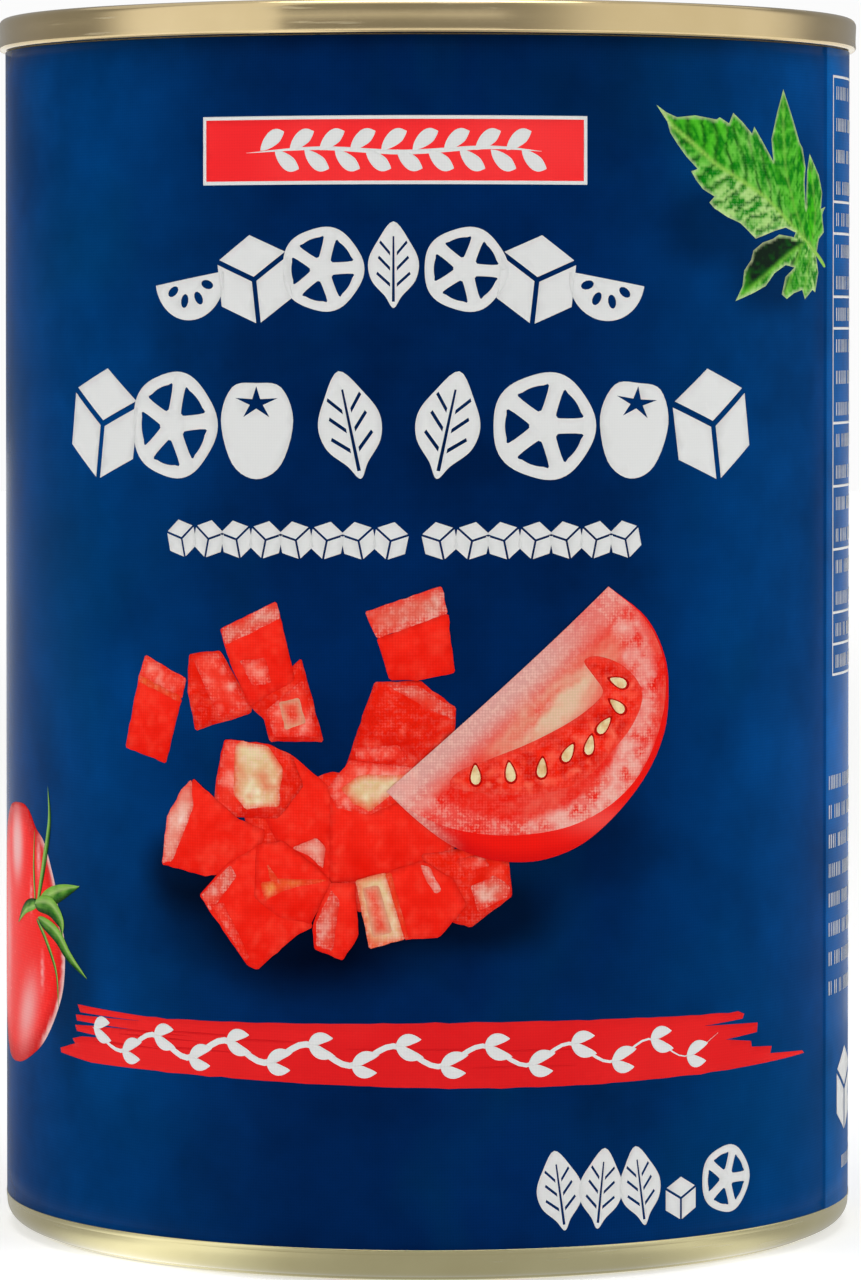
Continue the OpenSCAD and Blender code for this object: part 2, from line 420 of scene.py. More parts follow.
def blue_print():
    """Coated label paper, offset printed in deep blue and given a satin varnish.

    The eye gets a nearly black blue in the middle that opens to a clearer blue
    at the sides, drifting cloudy patches, and a faint diagonal screen of dots.
    """
    made, tree, out = new_finish("coated paper, deep blue offset print")
    place = put(tree, "ShaderNodeTexCoord", {}).outputs["Object"]
    angle = label_angle(tree, place)
    side = put(tree, "ShaderNodeMath", {0: angle}, operation="ABSOLUTE").outputs[0]
    open_up = put(tree, "ShaderNodeMapRange", {0: side, 1: 14.0, 2: 58.0, 3: 0.0, 4: 1.0},
                  interpolation_type="SMOOTHSTEP")
    panel = put(tree, "ShaderNodeMapRange", {0: angle, 1: lap_start - 0.1, 2: lap_start + 0.1,
                                             3: 0.0, 4: 1.0})
    # Clouds in the print are 8 to 20 mm across.
    cloud = put(tree, "ShaderNodeTexNoise", {"Vector": place, "Scale": 1 / (13 * MM), "Detail": 5.0,
                                             "Roughness": 0.62})
    teal = put(tree, "ShaderNodeTexNoise", {"Vector": place, "Scale": 1 / (22 * MM), "Detail": 3.0,
                                            "Distortion": 0.6})
    middle = put(tree, "ShaderNodeMix", {0: open_up.outputs[0], 6: linear("#002150"), 7: linear("#003A74")},
                 data_type="RGBA")
    middle = put(tree, "ShaderNodeMix", {0: panel.outputs[0], 6: middle.outputs[2], 7: linear("#005296")},
                 data_type="RGBA")
    light = put(tree, "ShaderNodeMapRange", {0: cloud.outputs[0], 1: 0.34, 2: 0.68, 3: 0.78, 4: 1.38})
    lit = put(tree, "ShaderNodeVectorMath", {0: middle.outputs[2], 3: light.outputs[0]}, operation="SCALE")
    shift = put(tree, "ShaderNodeMapRange", {0: teal.outputs[0], 1: 0.5, 2: 0.75, 3: 0.0, 4: 0.35})
    mixed = put(tree, "ShaderNodeMix", {0: shift.outputs[0], 6: lit.outputs[0], 7: linear("#003B61")},
                data_type="RGBA")
    dots = screen_dots(tree, place, angle)
    dots = put(tree, "ShaderNodeMapRange", {0: dots, 1: -1.0, 2: 1.0, 3: 0.9, 4: 1.1})
    colour = put(tree, "ShaderNodeVectorMath", {0: mixed.outputs[2], 3: dots.outputs[0]}, operation="SCALE")
    height = put(tree, "ShaderNodeSeparateXYZ", {0: place}).outputs[2]
    # Soft shadows under the heap, the leaf and the tomato at the left.
    shadows = [(-11, 30, 13, 6.5, 0.8), (-21, 34, 5, 4, 0.7), (4, 31, 8, 4, 0.7), (12, 36, 9, 4, 0.35),
               (26, 88, 6, 4, 0.45), (34, 84, 7, 4, 0.5), (-36, 24, 5, 8, 0.4)]
    colour = printed_shadow(tree, angle, height, colour.outputs[0], shadows)
    fibre = put(tree, "ShaderNodeTexNoise", {"Vector": place, "Scale": 1 / (0.5 * MM), "Detail": 2.0})
    wavy = put(tree, "ShaderNodeTexNoise", {"Vector": place, "Scale": 1 / (9 * MM), "Detail": 1.0})
    height = put(tree, "ShaderNodeMath", {0: wavy.outputs[0], 1: 5.0, 2: fibre.outputs[0]},
                 operation="MULTIPLY_ADD")
    bump = put(tree, "ShaderNodeBump", {"Height": height.outputs[0], "Strength": 0.15, "Distance": 0.03 * MM})
    rough = put(tree, "ShaderNodeMapRange", {0: cloud.outputs[0], 1: 0.3, 2: 0.7, 3: 0.16, 4: 0.24})
    shader = put(tree, "ShaderNodeBsdfPrincipled", {
        "Base Color": colour, "Roughness": rough.outputs[0], "IOR": 1.2,
        "Specular IOR Level": 0.03, "Normal": bump.outputs[0]})
    tree.links.new(shader.outputs[0], out.inputs[0])
    return made


def paper_core():
    """Bare wood-free paper where the sheet was cut: soft white, slightly fibrous, no shine."""
    made, tree, out = new_finish("cut edge of white paper")
    place = put(tree, "ShaderNodeTexCoord", {}).outputs["Object"]
    fibre = put(tree, "ShaderNodeTexNoise", {"Vector": place, "Scale": 1 / (0.3 * MM), "Detail": 3.0})
    colour = put(tree, "ShaderNodeMix", {0: fibre.outputs[0], 6: linear("#8E9AA8"), 7: linear("#C9CFD4")},
                 data_type="RGBA")
    shader = put(tree, "ShaderNodeBsdfPrincipled", {"Base Color": colour.outputs[2], "Roughness": 0.8})
    tree.links.new(shader.outputs[0], out.inputs[0])
    return made


label_wrap = wrap_label()
label_wrap.data.materials.append(blue_print())
label_wrap.data.materials.append(paper_core())
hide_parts("label")

# ---------------------------------------------------------------------------
# White print: rows of plain kitchen shapes and a ruled table at the side, in
# opaque white offset ink. Inks are thin flakes on the wrap, later ones on top.
# ---------------------------------------------------------------------------
# On the wrap, s is mm round from the front and z is mm up.
ink_base = 0.012
ink_step = 0.006
ink_flake = 0.005


def ease(share):
    """A smooth rise from 0 to 1."""
    share = min(1.0, max(0.0, share))
    return share * share * (3 - 2 * share)


def mix(first, second, share):
    """A colour between two linear colours."""
    share = min(1.0, max(0.0, share))
    return tuple(a + (b - a) * share for a, b in zip(first, second))


def smooth_path(spots, steps):
    """A smooth open line through a few spots."""
    spots = [Vector(p) for p in spots]
    ends = [2 * spots[0] - spots[1]] + spots + [2 * spots[-1] - spots[-2]]
    made = []
    for a, b, c, d in zip(ends, ends[1:], ends[2:], ends[3:]):
        for k in range(steps):
            t = k / steps
            made.append(0.5 * (2 * b + (c - a) * t + (2 * a - 5 * b + 4 * c - d) * t * t
                               + (3 * b - a - 3 * c + d) * t ** 3))
    return made + [spots[-1]]


def smooth_loop(spots, steps=8):
    """A smooth closed outline through a few spots."""
    count = len(spots)
    spots = [Vector(p) for p in spots]
    made = []
    for k in range(count):
        a, b, c, d = (spots[(k + n - 1) % count] for n in range(4))
        for n in range(steps):
            t = n / steps
            made.append(tuple(0.5 * (2 * b + (c - a) * t + (2 * a - 5 * b + 4 * c - d) * t * t
                                     + (3 * b - a - 3 * c + d) * t ** 3)))
    return made


def inside(loops, spots):
    """Which spots lie within the outlines, holes left out."""
    found = np.zeros(len(spots), bool)
    for loop in loops:
        ring = np.array(loop)
        for (s0, z0), (s1, z1) in zip(ring, np.roll(ring, -1, axis=0)):
            if abs(z1 - z0) < 1e-12:
                continue
            crosses = (z0 > spots[:, 1]) != (z1 > spots[:, 1])
            at = s0 + (spots[:, 1] - z0) * (s1 - s0) / (z1 - z0)
            found ^= crosses & (spots[:, 0] < at)
    return found


def split_long(loop, gap):
    """The outline with its long sides cut into steps no longer than gap."""
    made = []
    for (s0, z0), (s1, z1) in zip(loop, loop[1:] + loop[:1]):
        cuts = max(1, math.ceil(math.hypot(s1 - s0, z1 - z0) / gap))
        made += [(s0 + (s1 - s0) * k / cuts, z0 + (z1 - z0) * k / cuts) for k in range(cuts)]
    return made


def fill(loops, shade, level=0, gap=0.9):
    """A patch of ink within closed outlines. shade gives the colour at (s, z)."""
    loops = [split_long([tuple(p) for p in loop], gap) for loop in loops]
    spots, edges = [], []
    for loop in loops:
        first = len(spots)
        spots += loop
        edges += [(first + k, first + (k + 1) % len(loop)) for k in range(len(loop))]
    rim = np.array(spots)
    low, high = rim.min(0), rim.max(0)
    rows = np.arange(low[1] + gap / 2, high[1], gap * 0.87)
    inner = np.array([(s + (n % 2) * gap / 2, z) for n, z in enumerate(rows)
                      for s in np.arange(low[0], high[0], gap)]).reshape(-1, 2)
    inner = inner[inside(loops, inner)]
    clear = [np.min(np.hypot(*(rim - p).T)) > 0.45 * gap for p in inner]
    spots += [tuple(p) for p in inner[np.array(clear, bool)]]
    out = delaunay_2d_cdt([Vector(p) for p in spots], edges, [], 1, 1e-6, False)
    places = [(p.x, p.y) for p in out[0]]
    middles = np.array([np.mean([places[k] for k in c], axis=0) for c in out[2]])
    cells = [c for c, keep in zip(out[2], inside(loops, middles)) if keep]
    return places, cells, [shade(s, z) for s, z in places], level


def blade(spine, half_width, shade, level, across, along=10, blunt=0.9):
    """A pointed leaf or strip along a smooth spine. shade gets t along it and u across it."""
    line = smooth_path(spine, along)
    count = len(line)
    places, colours = [], []
    for k, p in enumerate(line):
        t = k / (count - 1)
        ahead = (line[min(k + 1, count - 1)] - line[max(k - 1, 0)]).normalized()
        side = Vector((-ahead.y, ahead.x))
        wide = half_width * max(0.02, math.sin(math.pi * t ** blunt)) ** 0.8
        for n in range(-across, across + 1):
            u = n / across
            spot = p + side * (wide * u)
            places.append((spot.x, spot.y))
            colours.append(shade(t, u))
    ring = 2 * across + 1
    cells = []
    for k in range(count - 1):
        for n in range(ring - 1):
            a = k * ring + n
            cells.append((a, a + ring, a + ring + 1, a + 1))
    return places, cells, colours, level


def print_layer(name, patches, finish):
    """One ink: every patch as a closed flake bent round the label."""
    points, faces, tints = [], [], []
    for places, cells, colours, level in patches:
        first, count = len(points), len(places)
        lift = ink_base + ink_step * level
        points += [on_label(s, z, lift) for s, z in places]
        points += [on_label(s, z, lift - ink_flake) for s, z in places]
        tints += colours + colours
        area = 0.0
        for c in cells:
            (s0, z0), (s1, z1), (s2, z2) = (places[k] for k in c[:3])
            area += (s1 - s0) * (z2 - z0) - (s2 - s0) * (z1 - z0)
        cells = cells if area > 0 else [tuple(reversed(c)) for c in cells]
        once = {}
        for c in cells:
            for a, b in zip(c, tuple(c[1:]) + (c[0],)):
                once[(a, b)] = True
        for c in cells:
            faces.append(tuple(first + k for k in c))
            faces.append(tuple(first + count + k for k in reversed(c)))
        for a, b in once:
            if (b, a) not in once:
                faces.append((first + b, first + a, first + count + a, first + count + b))
    piece = build(name, points, faces)
    tint = piece.data.attributes.new("tint", "FLOAT_COLOR", "POINT")
    tint.data.foreach_set("color", [v for c in tints for v in c])
    dress(piece, finish)
    return piece


def process_ink(name, fleck, grain=0.05):
    """Four-colour offset print under the label's varnish.

    The eye gets each flake's own colours through the diagonal screen of the
    print, with pale stipple where the colour's fourth value calls for it.
    """
    made, tree, out = new_finish(name)
    place = put(tree, "ShaderNodeTexCoord", {}).outputs["Object"]
    tint = put(tree, "ShaderNodeAttribute", {}, attribute_name="tint")
    dots = screen_dots(tree, place, label_angle(tree, place))
    specks = put(tree, "ShaderNodeTexNoise", {"Vector": place, "Scale": 1 / (0.45 * MM), "Detail": 3.0,
                                              "Roughness": 0.7})
    stipple = put(tree, "ShaderNodeMath", {0: dots, 1: 0.09, 2: specks.outputs[0]}, operation="MULTIPLY_ADD")
    share = put(tree, "ShaderNodeMapRange", {0: stipple.outputs[0], 1: 0.46, 2: 0.66, 3: 0.0, 4: 0.75})
    share = put(tree, "ShaderNodeMath", {0: share.outputs[0], 1: tint.outputs["Alpha"]}, operation="MULTIPLY")
    colour = put(tree, "ShaderNodeMix", {0: share.outputs[0], 6: tint.outputs["Color"], 7: linear(fleck)},
                 data_type="RGBA")
    level = put(tree, "ShaderNodeMapRange", {0: dots, 1: -1.0, 2: 1.0, 3: 1 - grain, 4: 1 + grain})
    colour = put(tree, "ShaderNodeVectorMath", {0: colour.outputs[2], 3: level.outputs[0]}, operation="SCALE")
    bump = put(tree, "ShaderNodeBump", {"Height": specks.outputs[0], "Strength": 0.12, "Distance": 0.02 * MM})
    rough = put(tree, "ShaderNodeMapRange", {0: specks.outputs[0], 1: 0.3, 2: 0.7, 3: 0.2, 4: 0.28})
    shader = put(tree, "ShaderNodeBsdfPrincipled", {
        "Base Color": colour.outputs[0], "Roughness": rough.outputs[0], "IOR": 1.2,
        "Specular IOR Level": 0.05, "Normal": bump.outputs[0]})
    tree.links.new(shader.outputs[0], out.inputs[0])
    return made


def plain(code):
    """A rule that gives one colour everywhere."""
    colour = (*linear(code)[:3], 0.0)
    return lambda a, b: colour


def mottled(base, spot, size, share, seed):
    """A rule that clouds one colour with another; size is the clouds' width in mm."""
    first, second = linear(base), linear(spot)

    def shade(s, z):
        cloud = noise.fractal(Vector((s / size, z / size, seed * 3.7)), 0.8, 2.0, 3)
        return (*mix(first, second, share + 0.7 * cloud)[:3], 0.05)
    return shade


white = plain("#E3E4E3")


def ring_of(s, z, r, turn=0.0, count=28, squash=1.0, part=360):
    """A round outline, or part of one."""
    turns = [math.radians(turn + part * k / count) for k in range(count + (0 if part == 360 else 1))]
    return [(s + r * squash * math.cos(t), z + r * math.sin(t)) for t in turns]


def turned_about(loop, s, z, degrees):
    """An outline turned about a spot."""
    c, n = math.cos(math.radians(degrees)), math.sin(math.radians(degrees))
    return [(s + (a - s) * c - (b - z) * n, z + (a - s) * n + (b - z) * c) for a, b in loop]


def slice_wheel(s, z, r, cells=5, turn=0):
    """A tomato cut across: skin, and wedge-shaped seed chambers left open."""
    loops = [[(s + r * (1 + 0.025 * math.cos(cells * t)) * math.cos(t),
               z + r * (1 + 0.025 * math.cos(cells * t)) * math.sin(t))
              for t in (2 * math.pi * k / 60 for k in range(60))]]
    for k in range(cells):
        middle = math.radians(turn + 360 * (k + 0.5) / cells)
        half = math.pi / cells * 0.68
        arc_out = [(0.76 * r, middle - half + half * n / 3) for n in range(7)]
        arc_in = [(0.34 * r, middle + half * 0.45), (0.3 * r, middle), (0.34 * r, middle - half * 0.45)]
        chamber = [(s + d * math.cos(t), z + d * math.sin(t)) for d, t in arc_out + arc_in]
        loops.append(smooth_loop(chamber, 3))
    return loops


def dice_mark(s, z, r, turn=0):
    """A cube seen over its corner: three faces with a thin gap between them."""
    loops = []
    gap = 0.07 * r
    for k in range(3):
        out_turn = math.radians(90 + 120 * k)
        shift = (gap * math.cos(out_turn), gap * math.sin(out_turn))
        corners = [(0, 0)]
        for a in (-60, 0, 60):
            corner = out_turn + math.radians(a)
            corners.append((r * math.cos(corner), r * math.sin(corner)))
        loop = [(s + a + shift[0], z + b + shift[1]) for a, b in corners]
        loops.append(turned_about(loop, s, z, turn))
    return loops


def leaf_mark(s, z, r, turn=0):
    """A plain leaf with its midrib and four veins left open."""
    half = [(0, -1), (0.2, -0.72), (0.52, -0.35), (0.6, 0.1), (0.4, 0.55), (0, 1.05)]
    half = [(a * r, b * r) for a, b in half]
    outline = smooth_loop(half + [(-a, b) for a, b in reversed(half[1:-1])], 5)
    rib = [(-0.035 * r, -0.85 * r), (0.035 * r, -0.85 * r), (0.02 * r, 0.7 * r), (-0.02 * r, 0.7 * r)]
    loops = [outline, rib]
    for side in (-1, 1):
        for start in (-0.5, -0.12, 0.24):
            vein = [(0.08, start), (0.36 - 0.1 * start, start + 0.3), (0.33 - 0.1 * start, start + 0.36),
                    (0.08, start + 0.09)]
            loops.append([(side * a * r, b * r) for a, b in vein])
    return [turned_about([(s + a, z + b) for a, b in loop], s, z, turn) for loop in loops]


def half_mark(s, z, r, turn=0):
    """Half a tomato slice with its seeds left open."""
    outline = ring_of(s, z, r, 180, 30, part=180)
    loops = [[(a, b + 0.45 * r) for a, b in outline]]
    for k in range(4):
        t = math.radians(205 + 43.3 * k)
        a, b = s + 0.55 * r * math.cos(t), z + 0.45 * r + 0.55 * r * math.sin(t)
        seed = ring_of(a, b, 0.17 * r, count=12, squash=0.62)
        loops.append(turned_about(seed, a, b, 90 + math.degrees(t)))
    return [turned_about(loop, s, z, turn) for loop in loops]


def plum_mark(s, z, r, turn=0):
    """A plum tomato with a starry stalk end cut into its top."""
    body_loop = smooth_loop([(s, z + 0.8 * r), (s + 0.5 * r, z + 0.72 * r), (s + 0.74 * r, z + 0.1 * r),
                             (s + 0.5 * r, z - 0.72 * r), (s, z - r), (s - 0.5 * r, z - 0.72 * r),
                             (s - 0.74 * r, z + 0.1 * r), (s - 0.5 * r, z + 0.72 * r)], 5)
    star = []
    for k in range(10):
        t = math.radians(90 + 36 * k)
        d = (0.46 if k % 2 == 0 else 0.14) * r
        star.append((s + d * math.cos(t), z + 0.42 * r + 0.7 * d * math.sin(t)))
    return [turned_about(loop, s, z, turn) for loop in (body_loop, star)]


def marks_in_row(makers, spots, size):
    """White patches: each maker in turn at each spot (s, z, turn)."""
    return [fill(makers[k % len(makers)](s, z, size, turn=turn), white, 2, gap=1.0)
            for k, (s, z, turn) in enumerate(spots)]


white_patches = []
# The upper row is bowed: its middle stands 2.6 mm above its ends.
upper = []
for k in range(7):
    s = -20.8 + 6.0 * k
    upper.append((s, 84.6 - 2.6 * ((s + 2.9) / 18) ** 2, -0.55 * (s + 2.9)))
upper_marks = [half_mark, dice_mark, slice_wheel, leaf_mark, slice_wheel, dice_mark, half_mark]
white_patches += marks_in_row(upper_marks, upper, 3.5)
lower = [(-30.9 + 8.15 * k, 71.3, turn) for k, turn in enumerate((-8, 6, 0, 12, -12, 0, -6, 8))]
lower_marks = [dice_mark, slice_wheel, plum_mark, leaf_mark, leaf_mark, slice_wheel, plum_mark, dice_mark]
white_patches += marks_in_row(lower_marks, lower, 4.45)
small = [(-21.8 + 2.68 * k + (1.4 if k > 7 else 0), 61.8, 12 * (-1) ** k) for k in range(15)]
white_patches += marks_in_row([dice_mark], small, 1.5)
weight = [(11.2, 7.5, 8), (14.9, 7.5, -6), (18.6, 7.5, 8)]
white_patches += marks_in_row([leaf_mark], weight, 3.3)
weight_end = [dice_mark(22.7, 6.2, 1.7), slice_wheel(27.8, 7.4, 2.85)]
white_patches += [fill(loops, white, 2) for loops in weight_end]


def bar(s0, s1, z0, z1):
    """A plain upright block."""
    return [(s0, z0), (s1, z0), (s1, z1), (s0, z1)]


def strokes_in_line(s0, s1, z, high, dice):
    """A line of fine, even, upright strokes in groups, where small print would be."""
    patches = []
    s = s0
    while s < s1:
        for k in range(dice.randint(2, 9)):
            wide = dice.uniform(0.15, 0.24)
            patches.append(fill([bar(s, s + wide, z - high / 2, z + high / 2)], white, 2, gap=2.0))
            s += wide + dice.uniform(0.26, 0.46)
            if s > s1:
                break
        s += 0.6
    return patches


def panel_of_lines(s0, width, z_low, z_high, rows, seed):
    """A ruled table: frame, rules and lines of strokes where its entries would be."""
    dice = random.Random(seed)
    line = 0.22
    loops = [bar(s0, s0 + width, z_low, z_high)]
    height = (z_high - z_low) / sum(rows)
    patches, z = [], z_high
    for lines in rows:
        low = z - lines * height
        under = low + line / 2 + (line / 2 if low < z_low + 0.1 else 0)
        over = z - line / 2 - (line / 2 if z > z_high - 0.1 else 0)
        loops.append(bar(s0 + line, s0 + width - line, under, over))
        for k in range(lines):
            middle = z - (k + 0.5) * height
            stop = s0 + width * dice.uniform(0.5, 0.72)
            patches += strokes_in_line(s0 + 1.1, stop, middle - 0.15, 1.15, dice)
            patches += strokes_in_line(s0 + width - 6, s0 + width - 1.6, middle - 0.15, 1.15, dice)
        z = low
    return [fill(loops, white, 2, gap=1.2)] + patches


def block_of_lines(s0, width, z_high, count, pitch, thick, seed):
    """Lines of strokes, ragged at the right."""
    dice = random.Random(seed)
    patches = []
    for k in range(count):
        stop = s0 + width * dice.uniform(0.72, 1.0)
        patches += strokes_in_line(s0, stop, z_high - k * pitch - 0.15, thick, dice)
    return patches


white_patches += panel_of_lines(45.5, 40.0, 49.1, 101.4, (4, 1, 2, 1, 3, 2, 2, 2, 1, 1), 5)
white_patches += block_of_lines(44.6, 40.0, 40.0, 8, 2.56, 1.2, 8)
white_patches += block_of_lines(90.0, 24.0, 99.0, 14, 2.9, 1.2, 21)
white_patches += block_of_lines(90.0, 24.0, 52.0, 12, 2.6, 1.1, 22)
white_patches += marks_in_row([dice_mark], [(50.4, 12.6, 0)], 3.5)
white_patches += block_of_lines(49.1, 14.0, 6.4, 1, 1.0, 1.1, 9)

white_ink = process_ink("opaque white offset ink", "#D3D9DC", 0.015)
print_layer("white_print", white_patches, white_ink)

# ---------------------------------------------------------------------------
# The red panel above: one flat red bar within a white line, where a label has
# its maker's name. A small white sprig fills it. Flat offset ink.
# ---------------------------------------------------------------------------
panel_loop = bar(-19.6, 13.6, 91.35, 97.05)
panel_inner = bar(-19.3, 13.3, 91.65, 96.75)
red_bar = [fill([panel_loop, panel_inner], white, 0)]
red_bar.append(fill([panel_inner], mottled("#FA2C30", "#FF3C3E", 9, 0.3, 1), 0))
stem = [(-15.5, 94.0), (-9, 94.35), (-2, 94.0), (5, 94.4), (9.6, 94.1)]
sprig = [blade(stem, 0.2, white, 1, across=1, blunt=1)]
for k in range(9):
    for side in (-1, 1):
        base = Vector((-14.2 + 2.6 * k + (1.3 if side < 0 else 0), 94.2))
        tip = base + Vector((2.1, 1.55 * side))
        middle = (base + tip) / 2 + Vector((0.2, 0.35 * side))
        sprig.append(blade([base, middle, tip], 0.62, white, 1, across=2, along=6))
flat_red = process_ink("flat red offset ink", "#F2413C", 0.03)
print_layer("red_panel", red_bar + sprig, flat_red)

# ---------------------------------------------------------------------------
# The brush stroke: one sweep of flat red offset ink with bristle marks torn at
# both ends, and a white vine drawn along it.
# ---------------------------------------------------------------------------


def stroke_edge(s, level, seed):
    """A long side of the stroke: nearly straight, with the bristles' waver."""
    return level + 0.25 * math.sin(s / 11.0 + seed) + 0.14 * noise.noise(Vector((s * 0.7, seed, 0)))


def brush_stroke(s0, s1):
    """The stroke's outline: bristle marks that taper out at the left and step off at the right."""
    start, reach, steps = s0 + 12, s1 - s0 - 22, 50
    along = [start + reach * k / steps for k in range(steps + 1)]
    tops = [(s, stroke_edge(s, 21.55, 1)) for s in along]
    lows = [(s, stroke_edge(s, 16.55, 4)) for s in reversed(along)]
    right = [(9.2, 21.2), (9.4, 20.8), (14.0, 20.55), (7.4, 20.3), (7.5, 19.5), (11.5, 19.2), (8.3, 18.8),
             (8.2, 18.3), (5.4, 18.1), (5.6, 17.5), (0.3, 17.2), (0.0, 16.95)]
    left = [(5.0, 16.8), (0.3, 17.2), (0.2, 17.6), (2.6, 18.2), (2.2, 18.6), (3.6, 18.9), (7.5, 19.1),
            (2.9, 19.3), (2.6, 19.8), (5.2, 19.95), (10.5, 20.1), (2.9, 20.2), (2.7, 20.7), (11.5, 20.9),
            (3.4, 20.95), (3.0, 21.6)]
    right = [(s1 - a, z) for a, z in right]
    left = [(s0 + a, z) for a, z in left]
    return tops + right + lows + left


stroke = [fill([brush_stroke(-37.6, 39.2)], mottled("#E31F22", "#F02A2A", 14, 0.4, 3), 0)]
bristles = random.Random(12)
for k in range(10):
    s = bristles.uniform(-33, 22)
    z = 17.6 + 2.9 * bristles.random()
    hair = [(s, z), (s + 4, z + 0.04), (s + 9, z)]
    stroke.append(blade(hair, 0.09, plain("#D81B1F"), 1, across=1, along=4))
vine_line = [(-32.4 + 3.7 * k, 19.0 + 0.85 * (-1) ** k) for k in range(17)]
stroke.append(blade(vine_line, 0.27, white, 2, across=2, along=6, blunt=0.6))
for k, (s, z) in enumerate(vine_line[:-1]):
    side = (-1) ** (k + 1)
    base = Vector((s + 0.2, z))
    for way, tip in ((-side, Vector((s + 2.3, z - 0.55 * side))), (side, Vector((s + 2.5, z + 0.95 * side)))):
        middle = (base + tip) / 2 + Vector((-0.1, 0.25 * way))
        stroke.append(blade([base, middle, tip], 0.5, white, 3, across=2, along=6))
print_layer("brush_stroke", stroke, flat_red)

# ---------------------------------------------------------------------------
# Printed dice of tomato: a loose few, and the heap that the wedge lies on, in
# four-colour offset print. Every face that shows is its own patch, laid from
# the back to the front.
# ---------------------------------------------------------------------------
# Each kind: two tones, the colour of its glints, its stipple, and its rim's colour and width in mm.
cut_faces = {
    "red": ("#E60F03", "#FF2A1A", "#FF5A42", 0.02, "#D00D07", 0.25),
    "deep": ("#D20E05", "#F8240F", "#FF6A50", 0.12, "#BC0B06", 0.25),
    "warm": ("#F62E1C", "#FF5340", "#FFB8A4", 0.3, "#F22414", 0.8),
    "pale": ("#F04632", "#E07A68", "#F6D0C0", 0.7, "#F02C1C", 0.8),
    "frost": ("#EE7F6C", "#F2AE9C", "#FFE8DC", 0.8, "#F25040", 0.6),
    "cream": ("#E88660", "#E6C894", "#FBF2D0", 0.7, "#F2502C", 0.6),
    "gold": ("#F5482A", "#F2A24C", "#FBE29C", 0.2, "#F02A16", 0.9),
    "blush": ("#EC4A36", "#F2381F", "#FF8A70", 0.3, "#E2A07E", 0.7),
}


def rim_distance(loop, s, z):
    """How far a spot lies from an outline, in mm."""
    found = 99.0
    for (s0, z0), (s1, z1) in zip(loop, loop[1:] + loop[:1]):
        along = ((s - s0) * (s1 - s0) + (z - z0) * (z1 - z0)) / ((s1 - s0) ** 2 + (z1 - z0) ** 2)
        along = min(1.0, max(0.0, along))
        found = min(found, math.hypot(s - s0 - along * (s1 - s0), z - z0 - along * (z1 - z0)))
    return found


def facet(kind, corners, seed, level):
    """One cut face: its colours, wet glints and a darker or softer rim."""
    *codes, fleck, rim_code, rim_width = cut_faces[kind]
    low_tone, high_tone, glint = (linear(code) for code in codes)
    rim = linear(rim_code)
    bottom, top = min(z for s, z in corners), max(z for s, z in corners)
    soft = rim_width > 0.5
    rough = 1.0 if soft else 0.4
    hold = 0.1 if soft else 0.62

    def shade(s, z):
        rise = (z - bottom) / (top - bottom)
        wet = noise.fractal(Vector((s / 1.7, z / 1.7, seed * 5.1)), 0.7, 2.0, 4)
        streak = noise.noise(Vector((s * 0.5 + z, (z - s) * 1.8, seed * 2.3)))
        colour = mix(low_tone, high_tone, 0.5 + 0.8 * rough * wet + 0.6 * (rise - 0.4) + 0.15)
        colour = mix(colour, glint, 0.9 * rough * max(0.0, streak + 0.7 * wet - 0.05))
        deep = ease(rim_distance(corners, s, z) / rim_width)
        colour = mix(rim, colour, hold + (1 - hold) * deep)
        return (*colour[:3], fleck * min(1.0, max(0.0, 0.7 + wet)))
    return fill([rounded(corners, seed)], shade, level, gap=0.5)


def rounded(corners, seed):
    """Straight sides with eased corners and a slight waver, as a knife leaves them."""
    outline = []
    for (s0, z0), (s1, z1) in zip(corners, corners[1:] + corners[:1]):
        long = math.hypot(s1 - s0, z1 - z0)
        ease_off = min(0.14, 0.2 * long) / long
        steps = max(3, round(long / 0.6))
        for k in range(steps + 1):
            t = ease_off + (1 - 2 * ease_off) * k / steps
            s, z = s0 + (s1 - s0) * t, z0 + (z1 - z0) * t
            waver = 0.1 * noise.noise(Vector((s * 1.4, z * 1.4, seed)))
            outline.append((s + waver * (z1 - z0) / long, z - waver * (s1 - s0) / long))
    return outline


loose_faces = [
    ("red", [(-26.5, 50.0), (-21.8, 48.3), (-23.5, 42.8), (-28.1, 44.0)]),
    ("warm", [(-25.7, 51.9), (-21.3, 50.0), (-21.8, 48.3), (-26.5, 50.0)]),
    ("gold", [(-26.5, 50.2), (-21.8, 48.5), (-21.9, 48.0), (-26.6, 49.6)]),
    ("deep", [(-21.1, 52.1), (-18.0, 52.5), (-15.0, 48.0), (-15.1, 47.3), (-20.4, 45.7), (-21.2, 49.0)]),
    ("warm", [(-20.8, 52.0), (-18.3, 52.3), (-15.3, 48.0), (-18.2, 47.0)]),
    ("deep", [(-15.3, 48.0), (-10.6, 52.0), (-8.7, 45.1), (-13.4, 45.0), (-14.0, 46.9)]),
    ("warm", [(-13.7, 47.6), (-10.5, 50.2), (-9.2, 45.5), (-13.0, 45.4)]),
    ("blush", [(-12.6, 48.3), (-10.8, 48.7), (-10.2, 46.6), (-12.0, 46.0)]),
    ("red", [(-18.0, 54.3), (-12.8, 56.7), (-11.1, 50.2), (-15.2, 47.9), (-17.1, 51.6)]),
    ("pale", [(-17.9, 54.3), (-12.8, 56.7), (-12.4, 55.3), (-17.5, 52.9)]),
    ("warm", [(-16.2, 51.7), (-13.8, 52.0), (-13.2, 49.9), (-14.9, 49.6)]),
    ("red", [(-4.2, 53.7), (1.7, 55.8), (2.3, 50.9), (-0.7, 50.2), (-3.1, 50.3)]),
    ("pale", [(-5.2, 55.9), (1.2, 58.1), (1.7, 55.8), (-4.2, 53.7)]),
]
